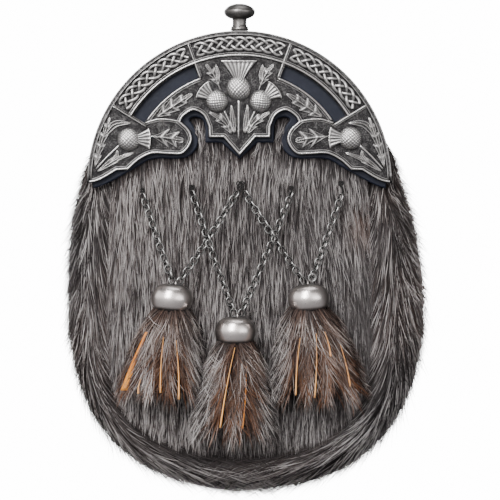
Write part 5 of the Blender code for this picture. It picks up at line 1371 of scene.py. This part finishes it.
# %% [markdown]
# The hair parts along the cut edges of the hide strips, so each hair needs its distance to the nearest edge.
# The dark core under the hair is made from the same rings, further in and shorter.
# %% Hair of the tassels
def strip_offset(key, points):
    """Signed distance in X from each point to the nearest hide edge of its tassel, and how far down that
    edge."""
    best, along_it = np.full(len(points), 99.0), np.zeros(len(points))
    for strip in (row for row in STRIPS if tassel_of(row) == key):
        t = np.clip((strip["top"][1] - points[:, 2]) / (strip["top"][1] - strip["end"][1]), -0.25, 1.15)
        offset = points[:, 0] - strip["top"][0] - (strip["end"][0] - strip["top"][0]) * t
        nearer = np.abs(offset) < np.abs(best)
        best, along_it = np.where(nearer, offset, best), np.where(nearer, t, along_it)
    return best, along_it


def tassel_pelt(key, row):
    """The dark core of a tassel: the rings of its fur, a little further in and shorter."""
    grid = skirt_grid(row, grow_by=-PELT_IN)[:-7]
    core = Shells()
    core.add(grid[::2, :-1:2], 0.04)
    ride(core.make("tassel_pelt_" + key, tassel_fur, "tone"), "tassel_fur", "tassel_fur_" + key)


def tassel_hair(key, row):
    """The hair of a tassel. Hairs part along the hide edges and lean out at the sides. Locks differ in
    tone, and those beside an edge are brown."""
    skin = make_skin(np.swapaxes(skirt_grid(row), 0, 1), -1.0)
    turns, rows = skin["place"].shape[:2]
    facing = -np.sin(np.linspace(0, 2 * np.pi, turns))
    fade = np.clip((0.80 - np.linspace(FALL_START, 1.0, rows)) / 0.25, 0, 1)
    count = int(TASSEL_HAIRS * THIN)
    a, b = scatter(skin, count, (0.3 + 0.7 * (facing > -0.25))[:, None] * fade[None])
    root = on_skin(skin, "place", a, b)
    fall = FALL_START + FALL_SPAN * b / (rows - 1)
    front = np.interp(a, np.arange(turns), facing)
    out = (root[:, 0] - skirt_middle(row, fall)) / (row["half"] * np.interp(fall, *SKIRT.T))
    offset, along_it = strip_offset(key, root)
    guard = rng.random(count) < TASSEL_GUARDS
    length = np.where(guard, rng.uniform(13, 20, count), rng.uniform(8, 14, count))
    length = np.minimum(length, (FALL_END - fall) * (row["z"] - 7.0 - row["end"]) + 3.0 * rng.random(count))
    parting = 0.42 * np.sign(offset) * np.exp(-(np.abs(offset) / 3.2)) * (along_it > -0.2)
    course = (parting + 0.62 * out * np.abs(out)) * np.clip(3 * front, -1, 1) + rng.normal(0, 0.12, count)
    flare = np.clip(np.abs(out) - 0.55, 0, 0.5) * 4.0 * np.clip(fall / 0.3, 0.1, 1)
    lift = (np.where(guard, 0.9, 0.3)[:, None], (np.where(guard, 2.6, 1.4) + flare)[:, None])
    hairs = grow(skin, a, b, length, course, TASSEL_PATCH, 0.55, lift, np.where(guard, 0.36, 0.42), levels=4)
    lock = hairs["jitter"][:, 0]
    brown = np.exp(-(offset / 2.6) ** 2) * np.clip(1.2 * along_it + 0.6, 0, 1)
    below_cap = np.clip(1 - fall / 0.22, 0, 1)
    tone = np.where(guard, rng.uniform(0.65, 1.0, count), rng.uniform(0.0, 0.38, count))
    tone = tone * (0.52 + 0.58 * lock)
    tone = tone * (1 - 0.25 * brown) * (1 + 0.10 * below_cap) + 0.5 * brown * np.clip(along_it - 0.7, 0, 1)
    warm = np.clip(brown * rng.uniform(0.5, 1.2, count) + (0.14 + 0.10 * below_cap) * rng.random(count), 0, 1)
    ride(hair_piece("tassel_hair_" + key, hairs, np.clip(tone, 0, 1), warm, tassel_fur), "tassel_fur")


for key, row in TASSELS.items():
    tassel_pelt(key, row)
    tassel_hair(key, row)

# %% [markdown]
# The tan lines in the tassels are the cut edges of the pelt strips: raw hide, pale along the edge. Each is
# a thin blade that widens downwards, is cut off square, and bends a little as it follows the fur.
# %% Hide edges
HIDE_TOP, HIDE_DEPTH, HIDE_PROUD, HIDE_BOW = 6.5, 9.4, 1.5, 0.5
HIDE_SECTION = np.array([(-1, 0.5), (-0.9, -0.2), (-0.3, -0.45), (0.4, -0.4), (0.95, -0.15), (1, 0.5)])
CUT_EDGE = np.array((0.0, 0.25, 1.0, 0.6, 0.1, 0.0))


def hide_edge(strip, row):
    """Rings of a thin blade along a strip, laid on the front of the tassel's ellipse."""
    t = np.linspace(0, 1, 15)[:, None]
    top, end = np.array(strip["top"]), np.array(strip["end"])
    line = top + (end - top) * t + np.array((HIDE_BOW, 0.0)) * np.sin(np.pi * t) * np.sign(end[0] - row["x"])
    fall = np.clip((row["z"] - HIDE_TOP - line[:, 1:]) / (row["z"] - HIDE_TOP - row["end"]), 0, 1)
    aside = np.abs(line[:, :1] - skirt_middle(row, fall))
    out = np.clip(aside / (row["half"] * (0.62 + 0.42 * fall)), 0, 0.98)
    bulge = HIDE_DEPTH * np.sqrt(1 - out ** 2) * (0.94 + 0.06 * fall)
    y = CAP_Y - bulge - HIDE_PROUD + strip.get("sunk", 0.0)
    half = strip["width"] / 2 * (0.32 + 0.68 * t ** 1.2)
    wide, deep = HIDE_SECTION.T[:, None]
    return np.stack((line[:, :1] + half * wide, y + deep, line[:, 1:] + 0 * wide), axis=-1)


for strip in STRIPS:
    blade_of_hide = Shells()
    blade_of_hide.add(hide_edge(strip, TASSELS[tassel_of(strip)]), CUT_EDGE * strip.get("pale", 1.0))
    nodes = [strip["name"]] if strip["name"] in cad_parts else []
    ride(blade_of_hide.make(strip["name"].replace("strip", "hide_edge"), tan_hide), "tan_hide", *nodes)

# %% [markdown]
# ## Chains
# Six lengths of cable chain run from the ties to the caps and cross on the way. A link is an oval of wire,
# and each is turned about 70 degrees round the chain from the last, give or take a little, so that they
# pass through each other. A link has few faces, because there are more than a hundred. The outer right
# chain ends in a jump ring.
# %% Chains
CHAINS = (
    {"name": "chain_outer_left", "top": (-48.3, -39.6), "cap": "left", "side": -1, "lift": 0.0},
    {"name": "chain_inner_left", "top": (-1.0, -38.6), "cap": "left", "side": 1, "lift": 0.0},
    {"name": "chain_middle_left", "top": (-23.8, -38.2), "cap": "middle", "side": -1, "lift": 4.9},
    {"name": "chain_middle_right", "top": (26.2, -38.6), "cap": "middle", "side": 1, "lift": 0.0},
    {"name": "chain_inner_right", "top": (2.4, -38.6), "cap": "right", "side": -1, "lift": 3.4},
    {"name": "chain_outer_right", "top": (50.8, -40.0), "cap": "right", "side": 1, "lift": 0.0},
)
TIE_Y, LINK_PITCH, LINK_LENGTH, LINK_WIDTH, WIRE = -48.6, 3.06, 4.8, 4.0, 0.88
LINK_ROLLS, ROLL_SPREAD = (-56, 14), 0.16
EYE_SIDE, EYE_FRONT, EYE_RISE, CHAIN_OUT, CHAIN_SAG = 1.3, 0.6, 0.6, 1.3, 0.9
JUMP_RING = {"chain": "chain_outer_right", "place": (36.1, -59.0, -81.2), "radius": 1.85, "wire": 0.38}


def link_shape(turns=14, sides=6):
    """A flat oval of wire with a round section: straight sides joined by half circles. The wire is worn
    bright on its outside, and its inside is painted dark, a painted shade where the next links pass through."""
    a = np.linspace(0, 2 * np.pi, turns + 1)[:-1]
    bend = (LINK_WIDTH - WIRE) / 2
    stretch = (LINK_LENGTH - LINK_WIDTH) / 2
    centre = np.stack((bend * np.sin(a), bend * np.cos(a) + stretch * np.sign(np.round(np.cos(a), 6))),
                      axis=1)
    b = np.linspace(0, 2 * np.pi, sides + 1)[None, :-1]
    out = np.stack((np.sin(a), np.cos(a)), axis=1)
    flat = centre[:, None] + out[:, None] * (WIRE / 2 * np.cos(b))[..., None]
    # Painted shade: the crest is low on the inside of the wire, towards the hole, so that side is dark.
    crest = np.clip(0.47 + 0.58 * np.cos(b) + 0 * flat[..., 0], 0, 1)
    return np.stack((flat[..., 0], WIRE / 2 * np.sin(b) + 0 * flat[..., 0], flat[..., 1]), axis=-1), crest


def chain_line(row, samples=200):
    """The chain's middle line: straight from tie to cap, sagging by a sine, and bowed forwards by sin
    squared."""
    cap = TASSELS[row["cap"]]
    hook = (cap["eye"] + row["side"] * EYE_SIDE, row["side"] * EYE_FRONT, CAP_HEIGHT / 2 + EYE_RISE)
    eye = posed(np.array([hook]), (cap["x"], CAP_Y, cap["z"]), cap["tilt"])[0]
    t = np.linspace(0, 1, samples)[:, None]
    line = np.array((row["top"][0], TIE_Y - CHAIN_OUT, row["top"][1])) * (1 - t) + eye * t
    line[:, 2] -= CHAIN_SAG * np.sin(np.pi * t[:, 0])
    line[:, 1] -= row["lift"] * np.sin(np.pi * t[:, 0]) ** 2
    return line


# %% [markdown]
# Each link sits at an even step along its chain's line and points down that line. A cross product of that
# direction with the view's gives the way across, and a roll turns the link between the two.
# %% Links
def link_frame(line, far, k, links):
    """Where link k lies: its middle, and the unit vectors across it, through it and down the chain."""
    spots = (k + 0.5 + np.array((0.0, -0.5, 0.5))) * far[-1] / links
    middle, start, end = (np.array([np.interp(s, far, line[:, j]) for j in range(3)]) for s in spots)
    down = (end - start) / np.linalg.norm(end - start)
    flat = np.cross(down, (0, -1, 0))
    flat /= np.linalg.norm(flat)
    front = np.cross(flat, down)
    roll = np.radians(LINK_ROLLS[k % 2]) + rng.normal(0, ROLL_SPREAD)
    wide = flat * np.cos(roll) + front * np.sin(roll)
    return middle, np.stack((wide, np.cross(down, wide), down))


link, link_shade_crest = link_shape()
total = 0
for row in CHAINS:
    line = chain_line(row)
    far = lengths(line)
    links = int(round(far[-1] / LINK_PITCH))
    chain = Shells()
    for k in range(links):
        middle, axes = link_frame(line, far, k, links)
        chain.add(link @ axes + middle, link_shade_crest, loop_rows=True)
    if row["name"] == JUMP_RING["chain"]:
        ring = hoop(JUMP_RING["radius"], JUMP_RING["wire"]) + np.array(JUMP_RING["place"])
        chain.add(ring, 0.8, loop_rows=True)
    total += links
    ride(chain.make(row["name"] + "_links", chain_metal), "chain_metal", row["name"])
print(total, "links")

# %% [markdown]
# Each chain is tied to the pouch with black thread that comes out between the hairs. The knot is a trefoil:
# the point at angle a is (sin a + 2 sin 2a, cos a - 2 cos 2a, -sin 3a), swept with a round section.
# %% Thread ties
TIES = (
    {"name": "tie_outer_left", "x": -48.3, "z": -37.9, "half": (1.1, 1.6),
     "tail": ((-48.5, -38.6), (-48.9, -40.4))},
    {"name": "tie_left", "x": -23.7, "z": -36.4, "half": (1.3, 1.9),
     "tail": ((-23.5, -37.4), (-23.9, -39.0))},
    {"name": "tie_middle", "x": 0.4, "z": -35.2, "half": (2.0, 2.7), "tail": ((0.8, -36.6), (0.6, -39.2))},
    {"name": "tie_right", "x": 25.9, "z": -36.6, "half": (0.9, 1.3), "tail": ((25.9, -37.2), (25.8, -39.0))},
    {"name": "tie_outer_right", "x": 50.8, "z": -34.4, "half": (1.2, 1.7),
     "tail": ((50.9, -35.0), (51.8, -40.6))},
)
THREAD, TAIL, WINDINGS = 0.27, 0.42, ((0.0, 1.0), (50.0, 0.8))


def swept(line, radius, sides=7):
    """Rings of a tube round a closed line: its section turns in the plane across the line's direction."""
    ahead = np.roll(line, -1, axis=0) - np.roll(line, 1, axis=0)
    ahead /= np.linalg.norm(ahead, axis=1)[:, None]
    side = np.cross(ahead, (0.3, 1.0, 0.2))
    side /= np.linalg.norm(side, axis=1)[:, None]
    up = np.cross(ahead, side)
    b = np.linspace(0, 2 * np.pi, sides + 1)[:-1]
    return line[:, None] + radius * (side[:, None] * np.cos(b)[:, None] + up[:, None] * np.sin(b)[:, None])


a = np.linspace(0, 2 * np.pi, 61)[:-1]
trefoil = np.stack((np.sin(a) + 2 * np.sin(2 * a), -0.8 * np.sin(3 * a), np.cos(a) - 2 * np.cos(2 * a)),
                   axis=1) / 3
for row in TIES:
    tie = Shells()
    size = np.array((row["half"][0], 1.0, row["half"][1]))
    for turn, grow_by in WINDINGS:
        knot = posed(trefoil * size * grow_by, (row["x"], TIE_Y - 0.5, row["z"]), turn)
        tie.add(swept(knot, THREAD), loop_rows=True)
    (x0, z0), (x1, z1) = row["tail"]
    t = np.linspace(0, 1, 9)[:, None]
    b = np.linspace(0, 2 * np.pi, 8)[None, :-1]
    thick = TAIL * (1.05 - 0.35 * t)
    x, y = x0 + (x1 - x0) * t + thick * np.cos(b), TIE_Y - 0.7 - 0.9 * t + thick * np.sin(b)
    tie.add(np.stack((x, y, z0 + (z1 - z0) * t + 0 * b), axis=-1))
    ride(tie.make(row["name"] + "_thread", black_thread), "black_thread", row["name"])

# %% [markdown]
# ## The back
# The photograph doesn't show the back, so it is plain and sound: a leather panel with the pouch's mouth, a
# tab that tucks over it, and two loops for the belt strap. Leather is never sharp at its edges, so each
# piece is rounded, and a seam of thread runs just inside the panel's edge and round the mouth.
# %% Back panel and tab
MOUTH_HALF, MOUTH_Z, MOUTH_CORNER = 52.0, (-60.0, -40.0), 4.0
BACK_FACES, FRONT_FACES, TAB_FACES = (-2.2, 0.0), (-36.3, -34.7), (0.3, 1.9)


def rounded_box(half_x, low, high, corner, steps=6):
    """A box outline with round corners: quarter circles at the four corner centres."""
    a = np.linspace(0, np.pi / 2, steps + 1)
    runs = []
    for k, (cx, cz) in enumerate(((1, 1), (-1, 1), (-1, -1), (1, -1))):
        centre = (cx * (half_x - corner), (high - corner) if cz > 0 else (low + corner))
        runs.append(np.stack((centre[0] + corner * np.cos(a + k * np.pi / 2),
                              centre[1] + corner * np.sin(a + k * np.pi / 2)), axis=1))
    return np.vstack(runs)


back_edge = joined(arc(POUCH_RADIUS, -ARC_END, ARC_END), back_line)
mouth = rounded_box(MOUTH_HALF, *MOUTH_Z, MOUTH_CORNER)
back = slab("back_panel_leather", [back_edge, mouth], *BACK_FACES, 0.6, pouch_leather, steps=3)
ride(back, "pouch_leather", "back_panel")
front_edge = joined(arc(POUCH_RADIUS, -ARC_END, ARC_END), seam_line)
front = slab("front_panel_leather", [front_edge], *FRONT_FACES, 0.3, pouch_leather)
ride(front, "pouch_leather", "front_panel")
TAB = np.array([(11.0, -28.0), (-11.0, -28.0), (-11.0, -64.0), (-9.8, -67.4), (-7.6, -70.2), (-4.2, -72.0),
                (4.2, -72.0), (7.6, -70.2), (9.8, -67.4), (11.0, -64.0)])
tab = slab("closing_tab_leather", [TAB], *TAB_FACES, 0.5, pouch_leather, steps=3)
ride(tab, "pouch_leather", "closing_tab")

# %% [markdown]
# A strap loop has one section all along, so it is a ring of points carried across its width, a little
# thinner at both ends. The loops stand clear of the back so that a belt strap can pass through.
# %% Loops
LOOP_X, LOOP_WIDTH, LEATHER = 33.0, 14.0, 2.0
LOOP_LINE = smooth_run(((0, -25.0), (0, -21.5), (0.4, -18.6), (3.4, -15.8), (6.0, -13.8), (6.2, -11.0),
                        (6.2, 0.0), (6.2, 11.0), (6.0, 13.8), (3.4, 15.8), (0.4, 18.6), (0, 21.5),
                        (0, 25.0)), 4)
LOOP_GAP = 0.3

across_leather = mitres(LOOP_LINE)
near_side = LOOP_LINE + (LOOP_GAP, 0)
loop_section = np.vstack((near_side, (near_side - across_leather * LEATHER)[::-1]))
centre = near_side - across_leather * LEATHER / 2
centre = np.vstack((centre, centre[::-1]))
width = np.array([(-1, 0.7), (-0.97, 0.9), (-0.9, 1.0), (0.9, 1.0), (0.97, 0.9), (1, 0.7)])
for side, key in ((-1, "left"), (1, "right")):
    body = centre[None] + (loop_section - centre)[None] * width[:, 1, None, None]
    x = side * LOOP_X + LOOP_WIDTH / 2 * width[:, 0, None] + 0 * body[..., 0]
    loop = Shells()
    loop.add(np.stack((x, body[..., 0], body[..., 1]), axis=-1))
    ride(loop.make("strap_loop_leather_" + key, pouch_leather), "pouch_leather", "strap_loop_" + key)

# %% [markdown]
# The side wall follows the seam and bulges a little, and the top wall is bent round the arc like the
# flange. Both run a little way into the seams of the front and back panels, so that no light shows between
# them.
# %% Gussets
TUCK = 0.4

fractions = np.linspace(0, 1, 9)[None, :, None]
wall = seam_line[:, None] + (back_line - seam_line)[:, None] * fractions
wall = wall + outward(back_line)[:, None] * GUSSET_BULGE * np.sin(np.pi * fractions)
wall_y = GUSSET_FRONT - TUCK + (GUSSET_BACK - GUSSET_FRONT + 2 * TUCK) * fractions[..., 0] + 0 * wall[..., 0]
outer_wall = np.stack((wall[..., 0], wall_y, wall[..., 1]), axis=-1)
thin = wall - outward(back_line)[:, None] * LEATHER
inner_wall = np.stack((thin[..., 0], wall_y, thin[..., 1]), axis=-1)
gusset = Shells()
gusset.add(np.concatenate((outer_wall, inner_wall[:, ::-1]), axis=1))
ride(gusset.make("side_gusset_leather", pouch_leather), "pouch_leather", "side_gusset")
inner_radius, wall_ends = POUCH_RADIUS - LEATHER, (GUSSET_FRONT - TUCK, GUSSET_BACK + TUCK)
top_section = ((POUCH_RADIUS, wall_ends[0]), (POUCH_RADIUS, wall_ends[1]),
               (inner_radius, wall_ends[1]), (inner_radius, wall_ends[0]))
top = Shells()
top.add(bent(top_section, ARC_END - 0.3, 121))
ride(top.make("top_gusset_leather", pouch_leather, smooth=False), "pouch_leather", "top_gusset")

# %% [markdown]
# A stitch is a short fat bead of thread, pressed into the leather at both ends. The stitches of one seam
# are one mesh: every bead is the same small shell, placed along the seam at even steps.
# %% Stitches
def stitches(name, line, y, step=3.2, length=2.3, radius=0.32, closed=False):
    """Beads along a line in the XZ plane: at each step a spindle, whose radius falls as 1 - t^4 towards both
    ends, where t is -1 and 1."""
    line = np.vstack((line, line[:1])) if closed else line
    far = lengths(line)
    count = int(far[-1] / step)
    spots = (np.arange(count) + 0.5) * far[-1] / count
    place = np.stack([np.interp(spots, far, line[:, k]) for k in (0, 1)], axis=1)
    ahead = np.stack([np.interp(spots + 0.4, far, line[:, k]) for k in (0, 1)], axis=1) - place
    ahead /= np.maximum(np.linalg.norm(ahead, axis=1), 1e-6)[:, None]
    t = np.linspace(-1, 1, 7)[:, None]
    b = np.linspace(0, 2 * np.pi, 7)[None, :-1]
    thick = radius * np.maximum(1 - t ** 4, 0.05)
    seam = Shells()
    for (px, pz), (dx, dz) in zip(place, ahead):
        run, side = t * length / 2, thick * np.cos(b)
        seam.add(np.stack((px + run * dx - side * dz, y + thick * np.sin(b) + 0 * t,
                           pz + run * dz + side * dx), axis=-1))
    ride(seam.make(name, sewing_thread), "black_thread")


EDGE_INSET, MOUTH_INSET, BACK_Y, TAB_Y, LOOP_Y, LOOP_SEAM_HALF = 3.0, 2.4, 0.05, 1.92, 2.35, 5.6

stitches("back_seam", back_edge - mitres(back_edge, closed=True) * EDGE_INSET, BACK_Y, closed=True)
round_mouth = rounded_box(MOUTH_HALF + MOUTH_INSET, MOUTH_Z[0] - MOUTH_INSET, MOUTH_Z[1] + MOUTH_INSET,
                          MOUTH_CORNER + MOUTH_INSET)
stitches("mouth_seam", round_mouth, BACK_Y, closed=True)
stitches("tab_seam", TAB * (0.84, 1), TAB_Y, closed=True)
for side, key in ((-1, "left"), (1, "right")):
    for high, place in ((22.8, "top"), (-22.8, "bottom")):
        rows = np.array([(side * LOOP_X - LOOP_SEAM_HALF, high), (side * LOOP_X + LOOP_SEAM_HALF, high)])
        stitches(f"loop_seam_{key}_{place}", rows, LOOP_Y, step=2.8)

# %% [markdown]
# ## Last measures
# The visible model may be only a little larger than the CAD box, because fur stands proud of its solid.
# The visible box is printed.
# %% Sizes and finish
low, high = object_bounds()
print("visual box", [round(v, 4) for v in low], [round(v, 4) for v in high])
